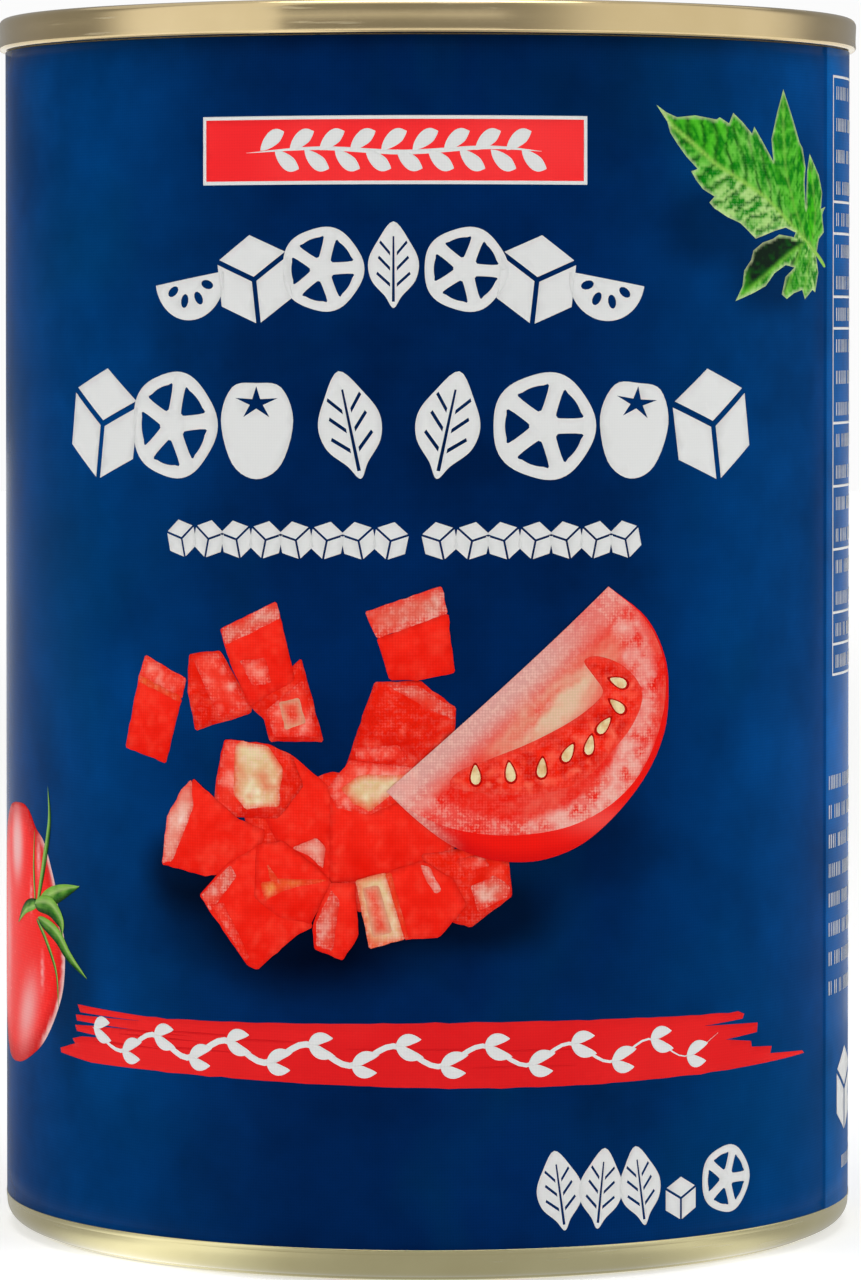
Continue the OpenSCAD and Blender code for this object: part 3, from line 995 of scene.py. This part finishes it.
heap_faces = [
    # The block that stands up behind the wedge.
    ("deep", [(-4.4, 50.1), (-0.6, 50.2), (2.4, 48.0), (2.3, 46.0), (-1.1, 42.6), (-6.9, 42.8)]),
    ("pale", [(-3.4, 49.9), (-0.8, 49.8), (2.2, 47.9), (2.3, 46.9), (-0.2, 48.0)]),
    ("warm", [(-6.2, 44.6), (-2.4, 44.9), (-1.6, 43.6), (-5.9, 43.5)]),
    # The long middle of the heap, down to what fills the gaps between the others.
    ("deep", [(-16.0, 39.5), (-8.0, 42.6), (-2.0, 42.0), (2.0, 38.0), (3.0, 32.0), (-4.0, 30.5),
              (-14.0, 33.5)]),
    ("red", [(-11.5, 44.0), (-8.0, 41.2), (-8.0, 33.4), (-11.0, 33.6), (-14.0, 38.8), (-13.6, 41.6)]),
    ("red", [(-8.1, 40.6), (-4.4, 39.2), (-1.8, 40.5), (2.4, 37.6), (1.0, 34.6), (-3.0, 33.6), (-8.2, 33.4)]),
    ("warm", [(-8.4, 41.2), (-6.4, 43.6), (-1.0, 43.0), (-2.6, 40.4), (-4.8, 39.0), (-7.6, 39.6)]),
    ("cream", [(-7.2, 41.2), (-5.6, 42.4), (-1.2, 42.4), (-2.9, 40.8), (-4.8, 39.3), (-6.2, 40.0)]),
    # Right of the middle, under the wedge.
    ("deep", [(-0.5, 35.8), (3.5, 36.4), (6.8, 35.2), (7.1, 32.3), (3.6, 29.7), (2.0, 30.2), (0.8, 32.4)]),
    ("warm", [(2.4, 35.4), (4.6, 35.8), (5.2, 34.8), (3.0, 34.3)]),
    ("pale", [(3.6, 33.1), (5.6, 34.0), (6.9, 33.1), (6.7, 32.2), (4.2, 31.0)]),
    # The block with the cream cut.
    ("deep", [(-17.6, 45.1), (-13.4, 44.8), (-11.4, 43.9), (-10.4, 41.4), (-12.6, 38.6), (-18.6, 38.6),
              (-18.4, 41.6)]),
    ("warm", [(-17.5, 45.0), (-15.6, 45.0), (-16.0, 39.0), (-18.3, 39.2), (-18.2, 41.8)]),
    ("cream", [(-16.6, 44.4), (-15.9, 45.0), (-13.5, 44.6), (-12.2, 42.8), (-12.6, 39.6), (-15.6, 39.3),
               (-16.7, 40.4)]),
    # Far left.
    ("red", [(-20.6, 41.7), (-16.3, 38.5), (-13.8, 37.6), (-14.1, 36.4), (-18.0, 33.8), (-19.3, 33.5),
             (-23.9, 34.3)]),
    ("frost", [(-20.8, 41.6), (-21.7, 40.8), (-23.3, 38.5), (-23.9, 34.4), (-22.8, 34.6), (-20.6, 39.2)]),
    # Lower left, over the corner.
    ("red", [(-17.2, 34.8), (-14.1, 36.4), (-10.6, 32.8), (-9.6, 29.6), (-10.9, 29.0), (-14.5, 25.9),
             (-15.4, 26.2), (-20.0, 31.9)]),
    ("pale", [(-17.0, 34.6), (-16.4, 33.6), (-18.9, 30.6), (-19.9, 31.9)]),
    ("warm", [(-19.0, 31.2), (-17.7, 31.4), (-15.2, 26.9), (-15.6, 26.6)]),
    # The block with the glowing seam.
    ("red", [(-14.6, 36.4), (-12.2, 36.7), (-9.2, 34.6), (-7.9, 33.3), (-9.8, 29.9), (-12.7, 30.4),
             (-14.8, 32.0)]),
    ("gold", [(-14.2, 33.2), (-12.4, 33.6), (-8.2, 33.6), (-12.2, 32.6), (-13.8, 31.6)]),
    ("gold", [(-13.6, 34.8), (-12.6, 33.5), (-12.3, 33.1), (-13.4, 33.4)]),
    ("frost", [(-11.4, 36.2), (-9.3, 37.1), (-8.5, 36.3), (-8.7, 34.5), (-9.9, 35.5)]),
    # The small one at the bottom.
    ("red", [(-8.1, 33.4), (-6.0, 33.4), (-5.7, 29.0), (-7.0, 26.9), (-9.5, 27.8), (-9.6, 30.0)]),
    ("pale", [(-8.0, 32.8), (-7.3, 31.8), (-7.9, 27.7), (-9.3, 28.1), (-9.3, 30.0)]),
    # The block with the cream frame, and its red side.
    ("red", [(-3.4, 34.3), (-0.4, 35.3), (2.2, 33.7), (3.3, 31.6), (1.0, 28.9), (-1.9, 28.7)]),
    ("cream", [(-6.0, 33.6), (-3.4, 34.3), (-1.8, 28.8), (-4.8, 27.9)]),
    ("blush", [(-5.4, 33.0), (-4.0, 33.2), (-2.9, 29.3), (-4.5, 28.9)]),
    ("gold", [(-3.5, 34.2), (-3.0, 34.3), (-1.5, 28.8), (-1.9, 28.8)]),
    ("frost", [(-0.6, 35.0), (0.2, 34.7), (1.2, 32.8), (0.7, 32.5), (-0.1, 33.6)]),
]


def laid(faces, first_seed):
    """The patches of a list of faces, each a little above the one before."""
    return [facet(kind, corners, first_seed + k, 0.6 * k) for k, (kind, corners) in enumerate(faces)]


flesh_ink = process_ink("process print of wet tomato flesh", "#F3C4B4")
print_layer("loose_dice", laid(loose_faces, 11), flesh_ink)
print_layer("dice_heap", laid(heap_faces, 41), flesh_ink)
rear_s = -84.0
rear_z = 5.0
rear_faces = [(kind, [(s + rear_s, z + rear_z) for s, z in corners]) for kind, corners in loose_faces]
print_layer("rear_dice", laid(rear_faces, 91), flesh_ink)

# ---------------------------------------------------------------------------
# The printed wedge of tomato, in four-colour offset print: a pale straight cut
# edge, the core, dark jelly with seeds, a rim of flesh, and the red skin below.
# ---------------------------------------------------------------------------
wedge_tip = Vector((-3.4, 41.0))
wedge_top = Vector((15.5, 57.9))
wedge_run = (wedge_top - wedge_tip).normalized()
wedge_long = 25.2
outer_spots = [wedge_top, (19.1, 55.2), (20.9, 52.0), (21.3, 49.0), (20.9, 45.6), (19.2, 42.2), (16.4, 39.0),
               (13.2, 36.5), (10.0, 35.3), (7.2, 35.1), (4.6, 35.5), (1.9, 36.6), (-0.8, 38.6), wedge_tip]
inner_spots = [wedge_top, (19.0, 55.1), (20.7, 52.0), (21.0, 49.0), (20.6, 46.6), (19.6, 44.0), (17.9, 41.5),
               (15.3, 39.4), (12.1, 38.0), (8.6, 37.4), (5.2, 37.4), (1.9, 38.0), (-1.1, 39.3), wedge_tip]


def cut_colour(s, z):
    """Flesh of the cut: pale by the straight edge and the core, streaked along its length."""
    from_tip = Vector((s, z)) - wedge_tip
    along = from_tip.dot(wedge_run) / wedge_long
    away = abs(from_tip.cross(wedge_run))
    out = math.hypot(s - 7.3, z - 48.6)
    wet = noise.fractal(Vector((along * 6, away * 0.9, 4.4)), 0.7, 2.0, 4)
    grain = noise.fractal(Vector((s / 1.2, z / 1.2, 7.7)), 0.7, 2.0, 4)
    colour = mix(linear("#F01A0C"), linear("#F25A4A"), 0.38 + 0.9 * wet)
    band = ease((3.4 - away) / 2.6) * (1 - 0.6 * ease((along - 0.62) / 0.3))
    colour = mix(colour, linear("#DEA79F"), 0.92 * band)
    core = math.exp(-(((along - 0.6) / 0.2) ** 2 + ((away - 4.3) / 1.7) ** 2))
    colour = mix(colour, linear("#E4BE9E"), min(1.0, core * (1.25 + 0.9 * wet)))
    low = ease((z - 36.0) / 2.0) * ease((out - 9.6) / 1.0) * ease((13.4 - out) / 1.0)
    lit = low * (0.55 + 0.45 * math.exp(-((math.atan2(z - 48.6, s - 7.3) + 0.95) / 0.75) ** 2))
    colour = mix(colour, linear("#F2A89C"), lit * (0.55 + 1.3 * grain))
    by_tip = ease((0.2 - abs(along - 0.12)) / 0.1) * ease((away - 2.8) / 1.2)
    colour = mix(colour, linear("#F41A0A"), 0.75 * by_tip)
    return (*colour[:3], min(0.8, max(0.08, 0.8 * band + 0.8 * lit + 0.5 * core)))


def skin_colour(s, z):
    """Skin: strong red, pinker towards the tip, darker on its underside."""
    out = math.hypot(s - 8.4, z - 48.4)
    cloud = noise.noise(Vector((s / 4, z / 4, 9.1)))
    colour = mix(linear("#F41A12"), linear("#D20D10"), ease((out - 11.6) / 2.4) + 0.2 * cloud)
    pink = ease((3.4 - s) / 5.0)
    colour = mix(colour, linear("#E8948A"), 0.75 * pink * ease((out - 12.3) / 0.8))
    glow = math.exp(-(((s - 14.5) / 3.2) ** 2 + ((z - 38.4) / 1.1) ** 2))
    return (*mix(colour, linear("#F5645C"), 0.5 * glow)[:3], 0.7 * pink)


outer_loop = smooth_path([wedge_tip, wedge_tip.lerp(wedge_top, 0.5), wedge_top], 8)
inner_loop = outer_loop + smooth_path(inner_spots, 5)[1:-1]
outer_loop = outer_loop + smooth_path(outer_spots, 5)[1:-1]
jelly_spots = [(2.2, 41.3), (6.9, 40.7), (10.6, 40.9), (13.5, 42.0), (15.8, 44.1), (17.7, 46.2),
               (18.7, 48.4), (18.2, 50.0), (16.6, 51.4), (14.5, 52.1), (13.3, 51.7), (14.2, 50.4),
               (15.0, 49.2), (14.3, 48.2), (12.1, 46.7), (8.6, 45.0), (5.2, 43.7), (2.5, 42.6)]
jelly_loop = smooth_loop(jelly_spots, 4)


def jelly_colour(s, z):
    """Wet jelly: deep red gaps between brighter pulp that runs out from the core."""
    turn = math.atan2(z - 51.5, s - 5.2)
    ribs = 0.5 + 0.5 * math.sin(turn * 17)
    wet = noise.fractal(Vector((s / 0.9, z / 0.9, 2.2)), 0.7, 2.0, 3)
    colour = mix(linear("#CE0B04"), linear("#FF2812"), 0.5 + 0.45 * ribs + 0.6 * wet)
    colour = mix(colour, linear("#FF8A6C"), 0.7 * max(0.0, wet - 0.1))
    deep = ease(rim_distance(jelly_loop, s, z) / 0.9)
    return (*mix(linear("#F23A2A"), colour, 0.2 + 0.8 * deep)[:3], 0.1)


wedge_patches = [fill([outer_loop], skin_colour, 17, gap=0.5),
                 fill([inner_loop], cut_colour, 18, gap=0.45),
                 fill([jelly_loop], jelly_colour, 19, gap=0.4)]
seed_spots = [(4.0, 42.4, 2), (6.9, 42.6, 8), (9.6, 42.9, -4), (11.9, 44.1, -30), (13.8, 44.7, -12),
              (15.1, 46.3, -42), (16.3, 47.9, 50), (16.4, 49.9, 68)]
for k, (s, z, lean) in enumerate(seed_spots):
    drop = [(s + 0.38 * math.sin(a) * (1 - 0.45 * math.cos(a)), z + 0.82 * math.cos(a))
            for a in (2 * math.pi * n / 16 for n in range(16))]
    shape = turned_about(drop, s, z, lean)
    pocket = [(s + (a - s) * 1.35, z + (b - z) * 1.25) for a, b in shape]
    wedge_patches.append(fill([pocket], plain("#B80C07"), 20, gap=0.5))
    seed_shade = mottled("#F1DDAA", "#D08E4A", 0.7, 0.1 + 0.1 * (k % 3), k)
    wedge_patches.append(fill([shape], seed_shade, 21, gap=0.3))
print_layer("tomato_wedge", wedge_patches, flesh_ink)

# ---------------------------------------------------------------------------
# Printed leaves, in four-colour offset print: toothed lobes fanned from one
# stalk, puckered between the veins, with ribs paler than the blade.
# ---------------------------------------------------------------------------
# Places on the leaf are in mm from its stalk's end, with its longest lobe up to the left.
leaf_edge = [
    (-23.3, 13.2), (-22.3, 12.6), (-21.2, 12.2), (-19.3, 12.4), (-16.9, 12.1), (-16.5, 12.3), (-15.4, 11.8),
    (-14.9, 12.7), (-13.8, 12.0), (-12.5, 11.0), (-12.2, 11.6), (-10.9, 10.2), (-9.5, 8.7), (-9.8, 10.6),
    (-8.9, 13.0), (-8.0, 14.9), (-6.6, 12.7), (-5.2, 10.4), (-4.7, 10.0), (-4.1, 8.3), (-4.3, 7.0),
    (-4.0, 4.8), (-3.8, 8.0), (-3.3, 9.5), (-1.3, 7.7), (-0.5, 6.2), (-0.8, 4.8), (0.2, 5.0), (-0.5, 4.3),
    (-0.1, 2.8), (-1.3, 2.2), (-1.9, 0.7), (-1.4, -0.7), (-2.1, -2.4), (-2.7, -2.2), (-4.2, -3.0),
    (-4.7, -2.2), (-6.2, -2.5), (-7.4, -3.0), (-8.2, -2.6), (-7.6, -1.1), (-6.1, -0.3), (-7.6, -0.1),
    (-9.3, -0.8), (-10.6, -1.9), (-12.3, -2.5), (-14.6, -3.2), (-13.7, -1.9), (-13.5, -0.6),
    (-12.6, 0.3), (-12.3, 1.1), (-11.0, 1.8), (-9.6, 2.1), (-8.6, 2.5), (-6.2, 2.3), (-5.9, 2.7),
    (-7.6, 3.1), (-9.3, 2.8), (-12.0, 2.1), (-13.2, 2.9),
    (-14.0, 3.4), (-15.6, 3.9), (-17.1, 4.6), (-17.7, 5.1), (-17.1, 5.6), (-18.4, 6.2), (-19.2, 7.0),
    (-19.7, 7.7), (-19.0, 7.9), (-20.2, 8.9), (-21.2, 10.0), (-21.9, 10.9), (-22.2, 11.8)]
# Each lobe's rib, how pale its lower and upper sides are, and how dark the fold on its upper side is.
leaf_ribs = [
    ([(-0.4, 0.2), (-6.2, 3.1), (-10.6, 5.6), (-16.9, 8.3), (-21.6, 11.4), (-23.1, 13.0)], 0.95, 0.22, 0.0),
    ([(-3.8, 1.8), (-6.2, 5.0), (-7.6, 7.9), (-8.0, 11.6), (-8.0, 14.7)], 0.1, 0.1, 0.0),
    ([(-2.9, 1.6), (-2.0, 4.3), (-2.7, 7.1), (-3.2, 9.3)], 0.0, 0.15, 0.0),
    ([(-4.6, 1.7), (-7.3, 0.7), (-10.6, -1.0), (-14.3, -3.0)], 0.5, 0.0, 1.0),
    ([(-2.9, 1.1), (-3.8, -0.8), (-4.4, -2.8)], 0.7, 0.5, 0.0),
    ([(-5.0, 1.3), (-6.2, -0.4), (-7.6, -2.6)], 0.3, 0.2, 0.7)]


def by_rib(a, b):
    """The rib nearest to a spot, how far along it the spot is, and how far to its left."""
    found = (99.0, 0, 0.0, 0.0)
    for n, (rib, low, high, fold) in enumerate(leaf_ribs):
        run = 0.0
        for (a0, b0), (a1, b1) in zip(rib, rib[1:]):
            long = math.hypot(a1 - a0, b1 - b0)
            along = min(long, max(0.0, ((a - a0) * (a1 - a0) + (b - b0) * (b1 - b0)) / long))
            share = along / long
            away = math.hypot(a - a0 - share * (a1 - a0), b - b0 - share * (b1 - b0))
            if away < found[0]:
                turned_left = (a1 - a0) * (b - b0) - (b1 - b0) * (a - a0)
                found = (away, n, run + along, math.copysign(away, turned_left))
            run += long
    return found[1:]


def leaf_colour(a, b, seed):
    """Green puckered between forward-running veins, paler on lit sides, dark in the folds."""
    n, run, aside = by_rib(a, b)
    rib, low, high, fold = leaf_ribs[n]
    away = abs(aside)
    across = run - 0.9 * away
    pucker = noise.fractal(Vector((across * 1.1, away * 0.8 + 3 * n, seed * 2.9)), 0.5, 2.1, 5)
    vein = (across / 1.9 + 0.35 * noise.noise(Vector((a * 0.5, b * 0.5, seed)))) % 1.0
    groove = math.exp(-(((vein - 0.5) / 0.13) ** 2))
    bright = math.exp(-(((vein - 0.68) / 0.1) ** 2))
    colour = mix(linear("#0A7E12"), linear("#46BE18"), 0.5 + 1.25 * pucker)
    colour = mix(colour, linear("#083F12"), (0.35 + 0.4 * (n == 0)) * groove)
    lit = low if aside > 0 else high
    lit *= ease((away + 0.1) / 0.4) * (1 - 0.8 * ease((run - 15) / 5))
    shine = lit * (0.45 + 1.9 * pucker + 0.6 * bright - 0.9 * groove)
    colour = mix(colour, linear("#ACD67E"), max(0.0, shine))
    shade_share = ease((0.1 - aside) / 0.6) * (1 - ease((run - 7.6) / 3.0))
    colour = mix(colour, linear("#15241A"), fold * shade_share * (1.0 + 0.4 * pucker))
    rib_share = math.exp(-((away / 0.17) ** 2))
    colour = mix(colour, linear("#9ACF58"), (0.9 if n == 0 else 0.4) * rib_share)
    edge = ease((0.28 - rim_distance(leaf_edge, a, b)) / 0.2)
    return (*mix(colour, linear("#D3E2AC"), 0.55 * edge)[:3], 0.3 * lit)


def leaf_at(s, z, scale, turn, seed):
    """One leaf with its stalk's end at (s, z)."""
    def placed(spots):
        return turned_about([(s + scale * a, z + scale * b) for a, b in spots], s, z, turn)

    def shade(a, b):
        a, b = turned_about([(a, b)], s, z, -turn)[0]
        return leaf_colour((a - s) / scale, (b - z) / scale, seed)
    stalk = placed([(0.2, -0.2), (-1.6, 0.8), (-3.4, 1.7), (-5.2, 2.6)])
    return [fill([placed(leaf_edge)], shade, 0, gap=0.27),
            blade(stalk, 0.22, lambda t, u: (*linear("#93C956")[:3], 0.1), 1, across=1, blunt=0.4)]


leaf_ink = process_ink("process print of a green leaf", "#C4DDA4")
print_layer("front_leaf", leaf_at(43.4, 84.9, 1.0, 0, 1), leaf_ink)
print_layer("left_leaf", leaf_at(-66.0, 74.0, 0.9, -16, 31), leaf_ink)
print_layer("rear_leaf", leaf_at(-93.0, 83.0, 1.0, 8, 51), leaf_ink)

# ---------------------------------------------------------------------------
# Printed whole tomatoes, in four-colour offset print: plum-shaped and glossy,
# each with a green calyx whose sepals curl away from it.
# ---------------------------------------------------------------------------


def whole_tomato(s, z, scale, turn, seed):
    """One plum tomato lying on its side, shaded as a glossy round body."""
    spots = [(-4.2, 10.0), (-1.6, 9.6), (0.3, 8.1), (2.2, 6.9), (4.2, 3.6), (4.9, 1.2), (5.8, -0.9),
             (5.9, -4.0), (5.1, -6.6), (2.8, -9.6), (0.0, -11.4), (-4.4, -12.7), (-9.0, -12.2),
             (-12.6, -8.0), (-13.6, -1.0), (-12.4, 5.4), (-8.6, 9.2)]
    outline = turned_about([(s + scale * a, z + scale * b) for a, b in smooth_loop(spots, 5)], s, z, turn)

    def shade(a, b):
        x, y = turned_about([(a, b)], s, z, -turn)[0]
        x, y = (x - s) / scale, (y - z) / scale
        deep = rim_distance(outline[::3], a, b) / scale
        cloud = noise.noise(Vector((a / 5, b / 5, seed)))
        colour = mix(linear("#B80A12"), linear("#FC231E"), 0.3 + ease(deep / 3.0) + 0.12 * cloud)
        glow = math.exp(-((((x + 5.2) / 1.8) ** 2 + ((y - 6.3) / 2.8) ** 2) ** 1.5))
        low = math.exp(-((((x + 2.0 - 0.4 * (y + 8.2)) / 2.1) ** 2 + ((y + 8.0) / 2.9) ** 2) ** 1.1))
        slim = 0.0
        for at, up, wide, high in ((0.9, 5.6, 0.3, 1.5), (-0.9, 2.0, 0.2, 1.2), (1.7, -4.2, 0.22, 1.3)):
            slim += math.exp(-(((x - at) / wide) ** 2 + ((y - up) / high) ** 2))
        far = math.exp(-(((x + 9.4) / 1.4) ** 2 + ((y + 1.5) / 5.5) ** 2))
        pale = min(0.92, 0.9 * glow + 0.66 * low + 0.75 * slim + 0.4 * far)
        colour = mix(colour, linear("#F6C0BE"), pale)
        edge = ease((0.6 - deep) / 0.5) * ease((x - 0.6) / 2.0)
        return (*mix(colour, linear("#F9DAD6"), 0.95 * edge)[:3], 0.05 + 0.3 * low)
    return [fill([outline], shade, 0.5, gap=0.5)]


def calyx_colour(seed):
    """Stem green, lighter along the middle, dark at one edge."""
    def shade(t, u):
        cloud = noise.noise(Vector((t * 7, u * 2, seed)))
        colour = mix(linear("#175F14"), linear("#7DB744"), 0.45 + 0.6 * u + 0.6 * cloud)
        colour = mix(colour, linear("#CFE09A"), 0.6 * math.exp(-(((u - 0.45) / 0.16) ** 2)))
        return (*mix(colour, linear("#12290C"), 0.9 * ease((-u - 0.35) / 0.5))[:3], 0.05)
    return shade


def calyx(s, z, scale, turn, seed):
    """Long pointed sepals round the stalk's end; each is its spine and half width."""
    sepals = [([(0.2, 0.0), (-0.2, 3.4), (0.0, 6.7)], 0.2),
              ([(0.6, 0.0), (2.2, 4.2), (3.2, 7.7), (2.9, 10.6)], 0.42),
              ([(1.0, 0.3), (4.8, 1.5), (8.3, 2.4)], 0.85),
              ([(0.4, -1.0), (2.4, -2.6), (4.4, -5.2), (4.9, -8.3)], 0.24),
              ([(0.8, -0.9), (4.4, -2.0), (6.6, -3.7), (9.4, -5.4)], 0.66),
              ([(0.9, 0.4), (-2.2, -0.3), (-4.6, -1.8)], 0.55),
              ([(0.1, 0.2), (3.2, 0.3), (5.2, -0.8), (5.6, -2.0)], 0.85)]
    patches = []
    for k, (spine, half) in enumerate(sepals):
        spine = turned_about([(s + scale * a, z + scale * b) for a, b in spine], s, z, turn)
        patches.append(blade(spine, half * scale, calyx_colour(seed + k), 2 + k, 3, along=8, blunt=0.62))
    return patches


skin_ink = process_ink("process print of glossy tomato skin", "#F6B0A6")
fruit_places = [(-42.6, 28.0, 1.0, 0), (-72.0, 24.5, 0.95, 24), (-102.0, 33.0, 1.1, -50)]
for k, (s, z, scale, turn) in enumerate(fruit_places):
    print_layer(f"whole_tomato_{k + 1}", whole_tomato(s, z, scale, turn, 2 + k), skin_ink)
    print_layer(f"tomato_calyx_{k + 1}", calyx(s, z + 1.3 * scale, scale, turn, 4 + 9 * k), leaf_ink)

# ---------------------------------------------------------------------------
# The studio: a pale table, a tall soft box on each side, a ring of cloth above
# and cards round the foot, and a dim room in front, which the tin's middle
# mirrors. Only the table and the backdrop are seen.
# ---------------------------------------------------------------------------
room_level = 0.33


def stage_piece(name, points, faces, finish):
    """A smooth mesh of the studio, which isn't part of the tin."""
    mesh = bpy.data.meshes.new(name)
    mesh.from_pydata(points, [], faces)
    for face in mesh.polygons:
        face.use_smooth = True
    piece = bpy.data.objects.new(name, mesh)
    bpy.context.scene.collection.objects.link(piece)
    piece.data.materials.append(finish)
    return piece


def glowing(name):
    """Cloth lit from behind, as bright as each point's own level says."""
    made, tree, out = new_finish(name)
    level = put(tree, "ShaderNodeAttribute", {}, attribute_name="glow")
    shine = put(tree, "ShaderNodeEmission", {"Strength": level.outputs["Fac"]})
    tree.links.new(shine.outputs[0], out.inputs[0])
    return made


def round_strip(name, rims, azimuths, steps, level):
    """A strip bent round the tin between two rims (distance, height), its glow set by direction."""
    first, last = azimuths
    turns = [first + (last - first) * k / steps for k in range(steps + 1)]
    points = []
    for turn in turns:
        for away, z in rims:
            points.append((away * math.sin(math.radians(turn)), -away * math.cos(math.radians(turn)), z))
    faces = [(2 * k, 2 * k + 2, 2 * k + 3, 2 * k + 1) for k in range(steps)]
    strip = stage_piece(name, points, faces, glowing(name + " cloth"))
    glow = strip.data.attributes.new("glow", "FLOAT", "POINT")
    glow.data.foreach_set("value", [level(turn) for turn in turns for rim in rims])
    strip.visible_camera = False
    return strip


def left_level(turn):
    """Full on the side towards the front, and fading out behind."""
    return room_level + (1.05 - room_level) * ease((turn + 99) / 20)


def right_level(turn):
    """Fading at both sides."""
    return room_level + (0.98 - room_level) * min(ease((turn - 20) / 32), ease((128 - turn) / 30))


def card_level(turn):
    """What the base mirrors from the cards that lie round the tin."""
    left = math.exp(-(((turn + 44) / (17 if turn > -44 else 14)) ** 2))
    right = math.exp(-(((turn - 46) / 11) ** 2))
    return 0.47 + 0.98 * left + 0.45 * right


def pale_table():
    """White laminate with a soft shine, lit a little from below."""
    made, tree, out = new_finish("pale satin laminate")
    place = put(tree, "ShaderNodeTexCoord", {}).outputs["Object"]
    away = put(tree, "ShaderNodeVectorMath", {0: place}, operation="LENGTH")
    lift = put(tree, "ShaderNodeMapRange", {0: away.outputs["Value"], 1: 0.3, 2: 1.4, 3: 0.42, 4: 0.7},
               interpolation_type="SMOOTHSTEP")
    shader = put(tree, "ShaderNodeBsdfPrincipled", {
        "Base Color": linear("#ECECEA"), "Roughness": 0.3, "Emission Color": (1.0, 1.0, 1.0, 1.0),
        "Emission Strength": lift.outputs[0]})
    tree.links.new(shader.outputs[0], out.inputs[0])
    return made


stage_piece("table", [(-3, -3, 0), (3, -3, 0), (3, 3, 0), (-3, 3, 0)], [(0, 1, 2, 3)], pale_table())
round_strip("left_soft_box", ((0.8, 0.0), (0.8, 1.4)), (-99, -38), 30, left_level)
round_strip("right_soft_box", ((0.8, 0.0), (0.8, 1.4)), (20, 128), 40, right_level)
upper = round_strip("upper_soft_box", ((1.5, 1.2), (0.5, 1.75)), (-180, 180), 60, lambda turn: 0.72)
upper.visible_diffuse = False
upper.visible_shadow = False
cards = round_strip("table_cards", ((0.033, 0.0001), (0.16, 0.0001)), (-180, 180), 144, card_level)
cards.visible_diffuse = False
cards.visible_shadow = False
backdrop = round_strip("backdrop", ((2.2, -0.05), (2.2, 2.5)), (-180, 180), 72, lambda turn: 0.97)
backdrop.visible_camera = True
backdrop.visible_diffuse = False
backdrop.visible_glossy = False
backdrop.visible_shadow = False

world = bpy.data.worlds.new("dim pale room")
bpy.context.scene.world = world
world.use_nodes = True
world.node_tree.nodes.clear()
sky = put(world.node_tree, "ShaderNodeBackground", {"Color": (1, 1, 1, 1), "Strength": room_level})
put(world.node_tree, "ShaderNodeOutputWorld", {"Surface": sky.outputs[0]})
top = bpy.data.lights.new("top_light", "AREA")
top.shape = "DISK"
top.size = 0.9
top.energy = 6.0
top_lamp = bpy.data.objects.new("top_light", top)
top_lamp.location = (0.0, -0.15, 1.1)
bpy.context.scene.collection.objects.link(top_lamp)
bpy.context.scene.view_settings.view_transform = "Standard"

# The eye is 520 mm in front of the tin's axis and 80 mm above the table, looking slightly down.
eye_distance = 520
eye_height = 80.2
eye_pitch = 1.21
camera = bpy.data.cameras.new("camera")
camera.sensor_width = 36.0
camera.lens = 163.9
camera.shift_y = -0.1547
camera.clip_start = 0.01
viewer = bpy.data.objects.new("camera", camera)
viewer.location = (0.27 * MM, -eye_distance * MM, eye_height * MM)
viewer.rotation_euler = (math.radians(90 - eye_pitch), 0, 0)
bpy.context.scene.collection.objects.link(viewer)
bpy.context.scene.camera = viewer
